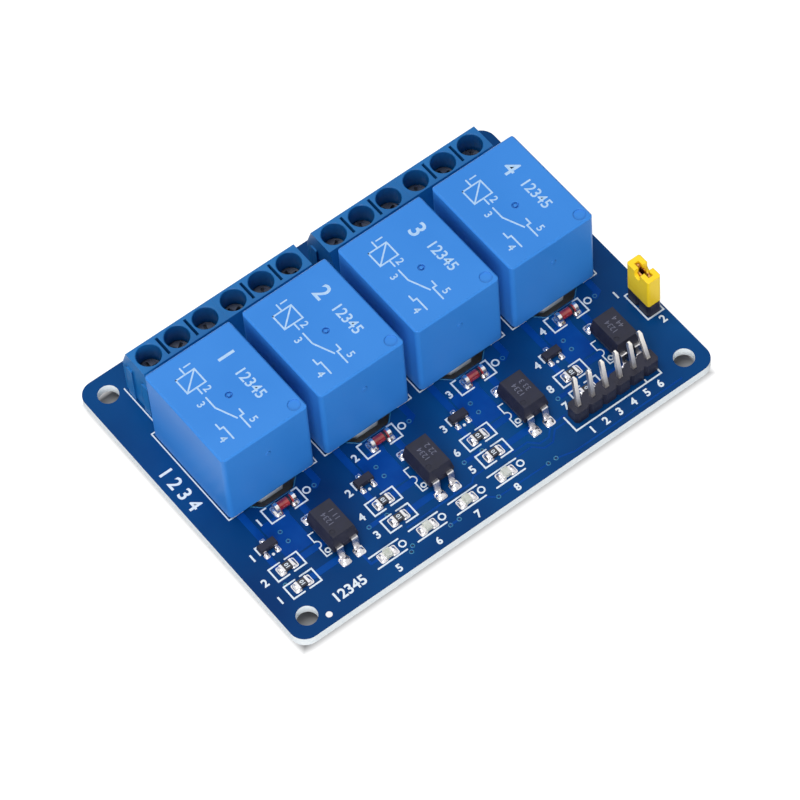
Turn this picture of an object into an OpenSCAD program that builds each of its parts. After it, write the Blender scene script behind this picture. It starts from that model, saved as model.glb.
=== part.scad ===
// Four-channel relay board: four sealed relays, four three-way screw terminals, the small
// driver parts of each channel, a six-pin signal header and a two-pin supply header with a
// jumper cap.
//
// X runs along the row of relays, +Y points at the screw terminals and +Z is up. The origin
// is the centre of the four mounting holes, on the underside of the circuit board.

/* [Circuit board] */
// Length of the board along the row of relays
board_w = 75; // [74.6:0.1:90]
// Depth of the board, from the signal header to the screw terminals
board_d = 54.6; // [54:0.1:66]
// Thickness of the laminate
board_t = 1.6; // [1:0.1:2.4]
// Radius of the board's corners
board_corner_r = 2.5; // [1:0.1:4]
// Distance from the left and right edges to the mounting holes
hole_inset_x = 3.5; // [2.8:0.05:4.5]
// Distance from the front and back edges to the mounting holes
hole_inset_y = 3.4; // [2.8:0.05:4.3]
// Diameter of the mounting holes
hole_d = 3.2; // [2.5:0.1:3.6]
// Diameter of the drilled holes for thick pins
pin_hole_d = 1.3; // [1.25:0.01:1.5]
// Diameter of the drilled holes for thin pins
thin_hole_d = 1; // [0.95:0.01:1.2]
// Distance from the isolation slot's middle to the relay's common pin
slot_to_pin = 2.6; // [2.2:0.05:3]
// Width of the isolation slot that is milled round each relay's common pin
slot_w = 1.7; // [1:0.1:2]
// Length of the isolation slot's straight middle
slot_middle = 4.4; // [3.6:0.1:5]
// Reach of each slanted arm of the isolation slot, along X and along Y
slot_arm = 2.8; // [1:0.1:3]

/* [Channels] */
// Distance from one channel to the next
channel_pitch = 17.05; // [16.4:0.05:17.2]
// Place of the middle of the row of channels along X
channels_x = 0.12; // [-0.3:0.02:0.3]

/* [Relays] */
// Width of a relay across the row
relay_w = 15; // [14:0.1:15.8]
// Length of a relay
relay_l = 18.8; // [18:0.1:19.2]
// Height of a relay's top above the board
relay_h = 15.1; // [13:0.1:17]
// Place of the relays along Y
relay_y = 4.8; // [4.6:0.1:5]
// Wall of the relay's moulded cover round its base
relay_wall = 0.8; // [0.6:0.05:1.2]
// Radius of the cover's upright edges
relay_edge_r = 0.7; // [0.3:0.05:1.2]
// Bevel along the cover's top edges
relay_bevel = 0.25; // [0.1:0.05:0.6]
// Thickness of the relay's base plate
relay_base_t = 1.2; // [0.8:0.1:2]
// Height of the feet under the base plate
relay_foot_h = 0.3; // [0.2:0.05:0.5]
// Diameter of those feet
relay_foot_d = 1.3; // [0.8:0.1:1.6]
// Diameter of the shallow dimple in the cover's top
dimple_d = 1.9; // [1:0.1:2.4]
// Depth of that dimple
dimple_depth = 0.18; // [0.05:0.01:0.4]
// Distance of the dimple's centre from the two nearest walls
dimple_inset = 1.45; // [1.2:0.05:2]
// Depth of the vent ring in the middle of the cover's top
vent_depth = 0.3; // [0.1:0.05:0.5]
// Distance of the vent ring in front of the cover's middle
vent_y = 0.8; // [0:0.1:2]
// Diameter of the vent ring
vent_d = 1.1; // [0.8:0.05:1.6]
// Diameter of the moulding gate's stub on the cover's front
gate_d = 0.8; // [0.4:0.05:1.2]
// How far the gate's stub stands out
gate_out = 0.12; // [0.05:0.01:0.3]
// Height of the gate's stub above the board
gate_z = 10.3; // [6:0.1:11]
// Distance between the two coil pins, and between the two contact pins
relay_pins_x = 12; // [11:0.1:12.4]
// Distance from the common pin to the coil pins, along Y
coil_pin_y = 2; // [1.6:0.1:2.4]
// Distance from the cover's front to the common pin
common_pin_inset = 2.3; // [2.2:0.05:2.6]
// Distance from the cover's back to the contact pins
contact_pin_inset = 2.3; // [2.2:0.05:2.6]
// Width of the relay's contact pins
relay_pin_w = 1; // [0.7:0.05:1.1]
// Thickness of the relay's contact pins
relay_pin_t = 0.6; // [0.4:0.05:0.7]
// Side of the relay's square coil pins
coil_pin_w = 0.6; // [0.4:0.05:0.65]

/* [Screw terminals] */
// Distance between the ways of a terminal
way_pitch = 5; // [4.9:0.02:5.08]
// Height of the housing above the board
housing_h = 10; // [9.7:0.1:12]
// Gap between the relays and the terminals
terminal_gap = 1.3; // [0.5:0.05:1.5]
// Housing's front wall in front of the screws, on the relays' side
housing_front = 4.2; // [4:0.05:4.4]
// Housing's back wall behind the screws, where the wires go in
housing_back = 3.5; // [3.4:0.05:3.8]
// Depth of the narrow crest that holds the screws
crest_d = 4.5; // [4.3:0.05:5]
// Height at which the front wall starts to slope
front_shoulder_h = 5.4; // [5.2:0.1:7]
// Height at which the back wall starts to slope
back_shoulder_h = 6.6; // [6:0.1:8]
// Gap between the left and the right pair of housings
pair_gap = 3.1; // [2:0.1:3.6]
// Place of the middle of the row of housings along X
terminals_x = 0.4; // [-0.5:0.05:0.8]
// Diameter of the screw wells
well_d = 3.8; // [3.7:0.02:4]
// Bevel round the mouth of a screw well
well_edge = 0.12; // [0.05:0.01:0.15]
// Width of the marking slots between the wells
marking_slot_w = 0.45; // [0.3:0.01:0.5]
// Length of the marking slots
marking_slot_l = 3.4; // [2:0.1:3.8]
// Depth of the marking slots
marking_slot_depth = 3.4; // [1:0.1:3.8]
// Width of the chamber that holds a way's metal frame
chamber_w = 3.7; // [3.6:0.02:3.8]
// Depth of that chamber
chamber_d = 4.9; // [4.7:0.05:5.2]
// Height of that chamber above the board
chamber_h = 5.3; // [5.25:0.01:5.6]
// Width of the wire entry
entry_w = 3.4; // [2.8:0.05:3.6]
// Height of the wire entry's sill above the board
entry_sill = 0.9; // [0.6:0.05:1.2]
// Height of the wire entry
entry_h = 3.9; // [3.2:0.1:4.2]
// Flare of the wire entry's mouth
entry_flare = 0.35; // [0.1:0.05:0.4]
// Height of the dovetail tongues that join neighbouring housings
tongue_h = 7; // [5:0.1:8]
// Distance from the screws to the front and to the back tongue
tongue_places = [-2.2, 1.6];
// How far the tongues stand out
tongue_out = 0.3; // [0.2:0.02:0.35]
// Width of a tongue where it leaves the housing
tongue_w = 1; // [0.6:0.05:1.4]
// Clearance of a tongue in its groove
tongue_gap = 0.06; // [0.02:0.01:0.15]

/* [Clamps] */
// Clearance round the metal frame in its chamber
frame_gap = 0.1; // [0.05:0.01:0.2]
// Sheet thickness of the frame's sides
frame_side = 0.45; // [0.3:0.01:0.5]
// Thickness of the frame's floor
frame_floor = 0.6; // [0.4:0.05:0.8]
// Thickness of the frame's threaded top
frame_top = 1; // [0.8:0.05:1.2]
// Length of the frame along Y
frame_l = 4; // [3.4:0.1:4.4]
// Height of the frame's underside above the board
frame_lift = 0.35; // [0.2:0.05:0.5]
// Clear height inside the frame
frame_window = 3.25; // [3:0.05:3.3]
// Distance of the solder pin in front of the screw
solder_pin_y = 1; // [0.4:0.1:1.3]
// Width of the solder pin
solder_pin_w = 1; // [0.7:0.05:1.05]
// Thickness of the solder pin
solder_pin_t = 0.7; // [0.5:0.05:0.75]
// Diameter of the clamp screw's shank
screw_d = 2.5; // [2:0.05:2.5]
// Running clearance round the shank in the threaded top
screw_gap = 0.05; // [0.02:0.01:0.1]
// Diameter of the screw's head
head_d = 3.5; // [3:0.05:3.6]
// Height of the screw's head
head_h = 1.3; // [1:0.05:1.6]
// Bevel round the screw's head
head_edge = 0.15; // [0.05:0.01:0.3]
// Length and setback of the screw's tapered tip
tip_edge = 0.3; // [0.1:0.05:0.5]
// Clearance under the head of a screw that is all the way down
head_gap = 0.1; // [0.05:0.01:0.3]
// Width of the cross recess in the head
recess_w = 0.5; // [0.3:0.05:0.7]
// Length of the cross recess
recess_l = 2.5; // [1.6:0.1:2.8]
// Depth of the cross recess
recess_depth = 0.7; // [0.3:0.05:0.9]
// Height of the wire guard above the frame's floor when the screw is down
guard_rest = 0.55; // [0.3:0.05:0.7]
// How far the guard's lip stands clear of the frame
lip_gap = 0.05; // [0.02:0.01:0.08]
// Sheet thickness of the wire guard
guard_t = 0.3; // [0.2:0.01:0.35]
// Side clearance of the wire guard in the frame
guard_gap = 0.05; // [0.03:0.01:0.1]
// Height of the guard's bent lip
guard_lip = 0.5; // [0.2:0.05:0.7]
// Clearance between the screw's tip and the guard
tip_gap = 0.02; // [0.01:0.01:0.05]

/* [Driver parts] */
// Place of the diodes along Y
diode_y = -7.45; // [-7.6:0.05:-7.3]
// Diameter of the diode's glass tube
diode_d = 1.35; // [1:0.05:1.5]
// Length of glass that shows between the caps
diode_glass_l = 2.4; // [1.8:0.1:2.8]
// Diameter of the diode's end caps
diode_cap_d = 1.6; // [1.5:0.05:1.8]
// Length of an end cap
diode_cap_l = 0.55; // [0.4:0.05:0.8]
// Place of the transistors along Y
transistor_y = -11.45; // [-11.6:0.05:-11.3]
// Length of a transistor's body along X
transistor_l = 2.9; // [2.7:0.05:3]
// Width of a transistor's body along Y
transistor_w = 1.3; // [1.2:0.05:1.4]
// Height of a transistor's body
transistor_h = 0.95; // [0.8:0.05:1.2]
// Height of a transistor's underside above the board
transistor_lift = 0.08; // [0.05:0.01:0.15]
// Draft of a transistor's sides, per side
transistor_draft = 0.08; // [0:0.01:0.12]
// Length of a transistor's lead inside its body
transistor_lead_in = 0.2; // [0.1:0.05:0.3]
// Distance from the body to the bend in a transistor's lead
transistor_lead_out = 0.15; // [0.1:0.01:0.25]
// Outward lean of a transistor's lead on its way down
transistor_lead_splay = 0.1; // [0:0.01:0.15]
// Thickness of a transistor's lead
transistor_lead_t = 0.12; // [0.08:0.01:0.16]
// Distance from tip to tip of a transistor's leads
transistor_span = 2.5; // [2.3:0.05:2.6]
// Distance between its two front leads
transistor_pitch = 1.9; // [1.8:0.05:2]
// Width of a transistor's lead
transistor_lead_w = 0.45; // [0.35:0.01:0.5]
// Place of the optocouplers along Y
opto_y = -15.75; // [-15.85:0.05:-15.5]
// Depth of the pin-1 dimple in the body's top
opto_mark_depth = 0.12; // [0.05:0.01:0.3]
// Width of an optocoupler's body along X
opto_w = 4.6; // [4.4:0.1:5]
// Length of an optocoupler's body along Y
opto_l = 6.2; // [5.8:0.1:6.5]
// Height of the body itself
opto_body_h = 3.5; // [3:0.1:3.6]
// Height of the body's underside above the board
opto_lift = 1.1; // [0.6:0.05:1.3]
// Height of the parting line above the body's underside
opto_parting = 1.3; // [1:0.05:1.6]
// Draft of the body's sides, per side, from the parting line to the top
opto_draft = 0.5; // [0.2:0.05:0.6]
// Pitch of the optocoupler's leads
opto_pitch = 2.54; // [2.5:0.01:2.6]
// Width of a lead next to the body
opto_lead_w = 1.05; // [0.8:0.05:1.2]
// Width of a lead's foot
opto_foot_w = 0.95; // [0.4:0.05:1]
// Distance from the body to a lead's outer face
opto_lead_out = 0.5; // [0.3:0.05:0.7]
// Outward lean of a lead on its way down
opto_lead_splay = 0.2; // [0:0.05:0.3]
// Diameter of the pin-1 dimple
opto_mark_d = 0.8; // [0.4:0.1:1.2]
// Distance of the pin-1 dimple from the body's front
opto_mark_inset = 1.2; // [0.9:0.1:1.6]
// Length of lead that is held inside the body
opto_lead_in = 0.5; // [0.3:0.05:0.8]
// Thickness of the leads
opto_lead_t = 0.25; // [0.2:0.01:0.3]
// Distance from tip to tip of the leads
opto_span = 9.3; // [8.9:0.1:9.4]
// Place of the back and of the front row of resistors along Y
resistor_rows = [-15.8, -19.4];
// Distance from the optocouplers' feet to the row of light-emitting diodes
led_gap = 2.75; // [2.5:0.05:3]
// Place of the first light-emitting diode along X
led_x = -19.15; // [-20:0.05:-18.6]
// Distance between the light-emitting diodes
led_pitch = 7.05; // [6:0.05:7.2]
// Length of the 0805 chips
chip_l = 2; // [1.9:0.05:2.2]
// Width of the 0805 chips
chip_w = 1.25; // [1.15:0.05:1.35]
// Thickness of a chip resistor
chip_h = 0.5; // [0.4:0.05:0.65]
// Length of a chip's metal end
chip_end = 0.38; // [0.2:0.02:0.5]
// How far the metal end stands proud of the chip's body
chip_proud = 0.03; // [0.01:0.01:0.05]
// Thickness of a light-emitting diode's chip
led_chip_h = 0.35; // [0.2:0.05:0.5]
// Length of its lens
led_lens_l = 1.2; // [0.8:0.05:1.24]
// Height of a light-emitting diode's lens above its chip
led_lens_h = 0.45; // [0.2:0.05:0.6]

/* [Headers and jumper] */
// Pitch of the pin headers
pin_pitch = 2.54; // [2.5:0.01:2.56]
// Width and height of a header's plastic base
header_base = 2.5; // [2.3:0.05:2.54]
// Side of the square pins
pin_w = 0.64; // [0.5:0.01:0.66]
// Length of pin above the base
pin_above = 6.4; // [5.6:0.1:7.4]
// Length of pin under the board
pin_below = 1.4; // [1:0.1:1.7]
// Height of the signal pins' bend above the base
pin_bend_h = 0.15; // [0.1:0.05:0.3]
// Bevel at the pins' tips
pin_bevel = 0.16; // [0.05:0.01:0.25]
// Corner cut between the base's segments
segment_cut = 0.42; // [0.2:0.02:0.6]
// Distance from the board's right edge to the signal header's middle
header_right_inset = 14.95; // [14.5:0.05:15.3]
// Distance from the optocouplers' feet to the signal header's middle
header_gap = 1.45; // [1.45:0.05:1.7]
// Lean of each signal pin to the right, in degrees
pin_lean_x = [-1, -3, -4, -4, -4.5, -7];
// Lean of each signal pin to the back, in degrees
pin_lean_y = [6.5, 2.5, 4.5, 4, 3.5, 9];
// Distance from the board's right edge to the supply header
supply_inset = 1.85; // [1.6:0.05:2.1]
// Place of the supply header's middle along Y
supply_y = -12.8; // [-13.2:0.05:-12.4]
// Length of supply pin above its base
supply_pin_above = 5.7; // [5:0.1:5.9]
// Width of the jumper cap
cap_w = 2.4; // [2.3:0.02:2.5]
// Length of the jumper cap
cap_l = 4.95; // [4.8:0.05:5.2]
// Height of the jumper cap
cap_h = 6; // [5.6:0.1:6.6]
// Radius of the cap's upright edges
cap_edge_r = 0.35; // [0.1:0.05:0.5]
// Width of the slot in the cap's top
cap_slot_w = 0.8; // [0.72:0.01:1]
// Length of the slot in the cap's top
cap_slot_l = 3.3; // [3.25:0.05:3.5]
// Thickness of the cap's roof
cap_roof = 0.9; // [0.5:0.05:1.2]
// Width of the notches in the cap's long sides
cap_notch_w = 1.3; // [0.8:0.05:1.6]
// Depth of those notches
cap_notch_depth = 1.5; // [0.8:0.05:2]
// Height at which the cap's contact ends, under the roof
contact_top_gap = 0.1; // [0.05:0.05:0.5]
// Sheet thickness of the contact in the cap
contact_t = 0.2; // [0.12:0.01:0.22]
// Width of the split in the contact's side
contact_split = 0.635; // [0.3:0.005:1]
// Clearance of the pins in the contact
contact_gap = 0.03; // [0.01:0.01:0.04]
// Clearance of the contact in the cap
cap_gap = 0.04; // [0.02:0.01:0.08]

/* [Soldering] */
// Length of relay and terminal pin under the board
tail = 1.8; // [1.4:0.1:2.2]
// Gap that a solder cone's tip fills round its pin's corners
solder_tip = 0.075; // [0.04:0.005:0.15]
// Height of a solder cone under the board
solder_h = 0.9; // [0.5:0.05:1]
// Rim of solder round a pin's hole, on each side
solder_rim = 0.35; // [0.2:0.05:0.45]

/* [Hidden] */
// places that follow the board's edges
hole_spacing_x = board_w - 2 * hole_inset_x;
hole_spacing_y = board_d - 2 * hole_inset_y;
header_x = board_w / 2 - header_right_inset;
supply_x = board_w / 2 - supply_inset;

// rows that follow the relays and the optocouplers
terminal_y = relay_y + relay_l / 2 + terminal_gap + housing_front;
led_y = opto_y - opto_span / 2 - led_gap;
header_y = opto_y - opto_span / 2 - header_gap;

channels = 4;
blocks = 4;
ways = 3;
signal_pins = 6;
leds = 4;
fine = 48;
eps = 0.01;

// channel and terminal places
function channel_x(c) = channels_x + (c - (channels - 1) / 2) * channel_pitch;
block_w = ways * way_pitch;
function block_x(b) =
    terminals_x + (b - (blocks - 1) / 2) * block_w + (b < blocks / 2 ? -1 : 1) * pair_gap / 2;
function way_x(n) = block_x(floor(n / ways)) + (n % ways - (ways - 1) / 2) * way_pitch;
way_count = blocks * ways;

// places of the parts within a channel, from the channel's middle
opto_dx = 2.25;
chip_dx = -5.95;
transistor_dx = -6.15;
diode_dx = -0.13;

// height in a relay at which the base plate ends, above the board
relay_roof_z = relay_foot_h + relay_base_t;
common_pin_y = relay_y - relay_l / 2 + common_pin_inset;
contact_pin_y = relay_y + relay_l / 2 - contact_pin_inset;

// heights in a clamp, above the board
frame_w = chamber_w - 2 * frame_gap;
window_w = frame_w - 2 * frame_side;
window_z = frame_lift + frame_floor;
window_top_z = window_z + frame_window;
frame_top_z = window_top_z + frame_top;
guard_z = window_z + guard_rest;
tip_z = guard_z + guard_t + tip_gap;
head_z = frame_top_z + head_gap;

// the isolation slot bends round the common pin's pad
slot_y = common_pin_y - slot_to_pin;

// supply header and its cap
contact_w = pin_w + 2 * (contact_gap + contact_t);
contact_l = pin_pitch + contact_w;
cap_z = board_t + header_base;
cavity_h = cap_h - cap_roof;

// pin tables: [x, y, width along X, width along Y, hole diameter, pin length under the board]
function relay_pin_rows(c) = let (x = channel_x(c), y = common_pin_y) [
    [x, y, relay_pin_w, relay_pin_t, pin_hole_d, tail],
    [x - relay_pins_x / 2, y + coil_pin_y, coil_pin_w, coil_pin_w, thin_hole_d, tail],
    [x + relay_pins_x / 2, y + coil_pin_y, coil_pin_w, coil_pin_w, thin_hole_d, tail],
    [x - relay_pins_x / 2, contact_pin_y, relay_pin_w, relay_pin_t, pin_hole_d, tail],
    [x + relay_pins_x / 2, contact_pin_y, relay_pin_w, relay_pin_t, pin_hole_d, tail]
];
relay_pin_table = [for (c = [0:channels - 1]) each relay_pin_rows(c)];
terminal_pin_table = [for (n = [0:way_count - 1])
    [way_x(n), terminal_y - solder_pin_y, solder_pin_w, solder_pin_t, pin_hole_d, tail]];
signal_pin_table = [for (p = [0:signal_pins - 1])
    [header_x + (p - (signal_pins - 1) / 2) * pin_pitch, header_y, pin_w, pin_w, thin_hole_d, pin_below]];
supply_pin_table = [for (s = [-1, 1])
    [supply_x, supply_y + s * pin_pitch / 2, pin_w, pin_w, thin_hole_d, pin_below]];
all_pins = concat(relay_pin_table, terminal_pin_table, signal_pin_table, supply_pin_table);

pcb_blue = [0.03, 0.17, 0.45];
relay_blue = [0.22, 0.5, 0.83];
housing_blue = [0.13, 0.45, 0.78];
steel = [0.75, 0.76, 0.78];
tin = [0.82, 0.82, 0.84];
ic_black = [0.16, 0.16, 0.2];
brass = [0.8, 0.66, 0.36];

// turn from one screw's cross recess to the next one's, in degrees
screw_stop_step = 37;

SCREWS = [for (n = [1:way_count]) str("clamp_screw_", n)];
GUARDS = [for (n = [1:way_count]) str("wire_guard_", n)];

// ---- shapes that several parts share ----

// flat shape with round corners, centred on the origin
module rounded_rect(w, d, r) {
    square([w - 2 * r, d], center = true);
    square([w, d - 2 * r], center = true);
    for (x = [-1, 1], y = [-1, 1])
        translate([x * (w / 2 - r), y * (d / 2 - r)]) circle(r, $fn = fine);
}

// straight bar of given width between two points, with round ends
module round_bar(a, b, w) {
    along = b - a;
    translate((a + b) / 2)
        rotate(atan2(along[1], along[0])) square([norm(along), w], center = true);
    for (p = [a, b]) translate(p) circle(d = w, $fn = fine);
}

// outline in the YZ plane, drawn out along X and centred on it
module along_x(length) rotate([90, 0, 90]) linear_extrude(length, center = true) children();

// outline in the XZ plane, drawn out along Y and centred on it
module along_y(length) rotate([90, 0, 0]) linear_extrude(length, center = true) children();

// outline of a block of width w from z0 to z1 whose top edges are cut at 45 degrees
module bevelled_outline(w, z0, z1, bevel)
    polygon([[-w / 2, z0], [w / 2, z0], [w / 2, z1 - bevel], [w / 2 - bevel, z1],
             [bevel - w / 2, z1], [-w / 2, z1 - bevel]]);

// outline of a moulded body: widest at the parting line, narrower at the top and the bottom
module drafted_outline(w, z0, parting, z1, draft) {
    low = draft * (parting - z0) / (z1 - parting);
    polygon([[low - w / 2, z0], [w / 2 - low, z0], [w / 2, parting],
             [w / 2 - draft, z1], [draft - w / 2, z1], [-w / 2, parting]]);
}

module moulded_body(w, l, z0, parting, z1, draft_w, draft_l)
    intersection() {
        along_y(l) drafted_outline(w, z0, parting, z1, draft_w);
        along_x(w) drafted_outline(l, z0, parting, z1, draft_l);
    }

// square pin from z0 to z1 with cut tips
module square_pin(w, z0, z1, bevel)
    intersection() {
        along_y(w) tip_outline(w, z0, z1, bevel);
        along_x(w) tip_outline(w, z0, z1, bevel);
    }

module tip_outline(w, z0, z1, bevel)
    polygon([[-w / 2, z0 + 2 * bevel], [bevel - w / 2, z0], [w / 2 - bevel, z0],
             [w / 2, z0 + 2 * bevel], [w / 2, z1 - 2 * bevel], [w / 2 - bevel, z1],
             [bevel - w / 2, z1], [-w / 2, z1 - 2 * bevel]]);

// ---- circuit board ----

// channel that is milled round a relay's common pin, as a flat shape
module isolation_slot() {
    a = [slot_middle / 2, 0];
    b = a + [slot_arm, slot_arm];
    round_bar([-a[0], a[1]], a, slot_w);
    round_bar(a, b, slot_w);
    round_bar([-a[0], a[1]], [-b[0], b[1]], slot_w);
}

module circuit_board()
    color(pcb_blue) linear_extrude(board_t) difference() {
        rounded_rect(board_w, board_d, board_corner_r);
        for (x = [-1, 1], y = [-1, 1])
            translate([x * hole_spacing_x / 2, y * hole_spacing_y / 2]) circle(d = hole_d, $fn = fine);
        for (p = all_pins) translate([p[0], p[1]]) circle(d = p[4], $fn = 24);
        for (c = [0:channels - 1]) translate([channel_x(c), slot_y]) isolation_slot();
    }

// cone of solder round every pin, on the underside
module solder_joints()
    color(tin) for (p = all_pins)
        translate([p[0], p[1], -solder_h]) difference() {
            cylinder(h = solder_h, d1 = norm([p[2], p[3]]) + 2 * solder_tip, d2 = p[4] + 2 * solder_rim,
                     $fn = fine);
            translate([-p[2] / 2, -p[3] / 2, -solder_h]) cube([p[2], p[3], 3 * solder_h]);
        }

// ---- relays ----

module relay_cover(c)
    color(relay_blue) translate([channel_x(c), relay_y, board_t]) {
        difference() {
            intersection() {
                linear_extrude(relay_h) rounded_rect(relay_w, relay_l, relay_edge_r);
                along_y(relay_l) bevelled_outline(relay_w, relay_foot_h, relay_h, relay_bevel);
                along_x(relay_w) bevelled_outline(relay_l, relay_foot_h, relay_h, relay_bevel);
            }
            // recess that takes the base plate
            translate([0, 0, relay_foot_h - eps])
                linear_extrude(relay_base_t + eps)
                    square([relay_w - 2 * relay_wall, relay_l - 2 * relay_wall], center = true);
            translate([relay_w / 2 - dimple_inset, dimple_inset - relay_l / 2, relay_h - dimple_depth])
                cylinder(d = dimple_d, h = 2 * dimple_depth, $fn = fine);
            translate([0, -vent_y, relay_h - vent_depth]) difference() {
                cylinder(d = vent_d, h = 2 * vent_depth, $fn = fine);
                translate([0, 0, -eps]) cylinder(d = vent_d / 2, h = 3 * vent_depth, $fn = fine);
            }
        }
        translate([0, -relay_l / 2 + eps, gate_z]) rotate([90, 0, 0])
            cylinder(d = gate_d, h = gate_out + eps, $fn = 24);
    }

// plate that closes the cover, on four feet
module relay_base(c)
    color(ic_black) difference() {
        translate([channel_x(c), relay_y, board_t]) {
            translate([0, 0, relay_foot_h]) linear_extrude(relay_base_t)
                square([relay_w - 2 * relay_wall, relay_l - 2 * relay_wall], center = true);
            for (x = [-1, 1], y = [-1, 1])
                translate([x * (relay_w / 2 - relay_wall - relay_foot_d / 2),
                           y * (relay_l / 2 - relay_wall - relay_foot_d / 2), 0])
                    cylinder(d = relay_foot_d, h = relay_foot_h + eps, $fn = 24);
        }
        for (p = relay_pin_rows(c))
            translate([p[0] - p[2] / 2, p[1] - p[3] / 2, 0]) cube([p[2], p[3], board_t + relay_h]);
    }

module relay_pins()
    color(tin) for (p = relay_pin_table)
        translate([p[0] - p[2] / 2, p[1] - p[3] / 2, -p[5]])
            cube([p[2], p[3], p[5] + board_t + relay_roof_z]);

// ---- screw terminals ----

module tongue_outline(out, w)
    polygon([[eps, -w / 2], [eps, w / 2], [-out, w / 2 + out], [-out, -w / 2 - out]]);

module terminal_housing(b)
    color(housing_blue) translate([block_x(b), terminal_y, board_t]) {
        difference() {
            along_x(block_w)
                polygon([[-housing_front, 0], [housing_back, 0], [housing_back, back_shoulder_h],
                         [crest_d / 2, housing_h], [-crest_d / 2, housing_h],
                         [-housing_front, front_shoulder_h]]);
            for (n = [0:ways - 1])
                translate([(n - (ways - 1) / 2) * way_pitch, 0, 0]) way_cavity();
            for (n = [1:ways - 1])
                translate([(n - ways / 2) * way_pitch, 0, housing_h])
                    cube([marking_slot_w, marking_slot_l, 2 * marking_slot_depth], center = true);
            for (y = tongue_places)
                translate([block_w / 2, y, -eps]) linear_extrude(tongue_h + tongue_gap + eps)
                    tongue_outline(tongue_out + tongue_gap, tongue_w + 2 * tongue_gap);
        }
        for (y = tongue_places)
            translate([-block_w / 2, y, 0]) linear_extrude(tongue_h) tongue_outline(tongue_out, tongue_w);
    }

// everything that is cut out of a housing for one way
module way_cavity() {
    translate([0, 0, chamber_h - eps]) cylinder(d = well_d, h = housing_h, $fn = fine);
    translate([0, 0, housing_h - well_edge])
        cylinder(d1 = well_d, d2 = well_d + 4 * well_edge, h = 2 * well_edge, $fn = fine);
    translate([-chamber_w / 2, -chamber_d / 2, -eps]) cube([chamber_w, chamber_d, chamber_h + eps]);
    translate([0, 0, entry_sill + entry_h / 2]) {
        translate([-entry_w / 2, 0, -entry_h / 2]) cube([entry_w, 2 * housing_back, entry_h]);
        intersection() {
            rotate([0, 90, 0]) linear_extrude(entry_w + 4 * entry_flare, center = true)
                mouth_outline(entry_h);
            linear_extrude(entry_h + 4 * entry_flare, center = true) mouth_outline(entry_w);
        }
    }
}

// mouth of the wire entry, which widens towards the back wall
module mouth_outline(opening)
    polygon([[-opening / 2, housing_back - entry_flare], [opening / 2, housing_back - entry_flare],
             [opening / 2 + 2 * entry_flare, housing_back + entry_flare],
             [-opening / 2 - 2 * entry_flare, housing_back + entry_flare]]);

// box-shaped metal frame of each way, with its threaded top and its solder pin
module terminal_frames()
    color(tin) for (n = [0:way_count - 1])
        translate([way_x(n), terminal_y, board_t]) {
            difference() {
                translate([-frame_w / 2, -frame_l / 2, frame_lift])
                    cube([frame_w, frame_l, frame_top_z - frame_lift]);
                translate([-window_w / 2, -frame_l, window_z])
                    cube([window_w, 2 * frame_l, frame_window]);
                translate([0, 0, window_z + eps])
                    cylinder(d = screw_d + 2 * screw_gap, h = frame_top_z, $fn = fine);
            }
            translate([-solder_pin_w / 2, -solder_pin_y - solder_pin_t / 2, -board_t - tail])
                cube([solder_pin_w, solder_pin_t, board_t + tail + frame_lift + eps]);
        }

// each screw's cross recess stopped at an angle of its own
module clamp_screw(n)
    color(steel) translate([way_x(n), terminal_y, board_t]) {
        difference() {
            translate([0, 0, head_z]) {
                cylinder(d = head_d, h = head_h - head_edge, $fn = fine);
                translate([0, 0, head_h - head_edge])
                    cylinder(d1 = head_d, d2 = head_d - 2 * head_edge, h = head_edge, $fn = fine);
            }
            rotate(n * screw_stop_step) for (a = [0, 90]) rotate(a)
                translate([-recess_l / 2, -recess_w / 2, head_z + head_h - recess_depth])
                    cube([recess_l, recess_w, head_h]);
        }
        translate([0, 0, tip_z])
            cylinder(d1 = screw_d - 2 * tip_edge, d2 = screw_d, h = tip_edge, $fn = fine);
        translate([0, 0, tip_z + tip_edge])
            cylinder(d = screw_d, h = head_z - tip_z - tip_edge + eps, $fn = fine);
    }

// plate that the screw presses on the wire, with its lip bent up at the wire entry
module wire_guard(n) {
    lip_y = frame_l / 2 + lip_gap;
    top_z = guard_z + guard_t;
    color(tin) translate([way_x(n), terminal_y, board_t]) along_x(window_w - 2 * guard_gap)
        polygon([[-frame_l / 2, guard_z], [lip_y, guard_z], [lip_y + guard_t, top_z],
                 [lip_y + guard_t, top_z + guard_lip], [lip_y, top_z + guard_lip],
                 [lip_y, top_z], [-frame_l / 2, top_z]]);
}

// ---- driver parts ----

module optocoupler_body()
    translate([0, 0, opto_lift])
        moulded_body(opto_w, opto_l, 0, opto_parting, opto_body_h, opto_draft, opto_draft / 2);

// lead on the +Y side: out of the body at its parting line, down, and along the board
module optocoupler_lead_path() {
    parting = opto_lift + opto_parting;
    leg_y = opto_l / 2 + opto_lead_out;
    foot_y = leg_y + opto_lead_splay;
    t = opto_lead_t;
    polygon([[opto_l / 2 - opto_lead_in, parting + t / 2], [leg_y - t / 2, parting + t / 2],
             [leg_y, parting], [foot_y + t / 2, t], [opto_span / 2, t], [opto_span / 2, 0],
             [foot_y - t / 2, 0], [foot_y - t, t / 2], [leg_y - t, parting - t / 2],
             [opto_l / 2 - opto_lead_in, parting - t / 2]]);
}

module optocoupler_lead_set()
    for (side = [0, 180], x = [-1, 1]) rotate(side) translate([x * opto_pitch / 2, 0, 0]) {
        along_x(opto_foot_w) optocoupler_lead_path();
        intersection() {
            along_x(opto_lead_w) optocoupler_lead_path();
            translate([-opto_w, 0, opto_lift]) cube([2 * opto_w, opto_span, opto_body_h]);
        }
    }

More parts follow.
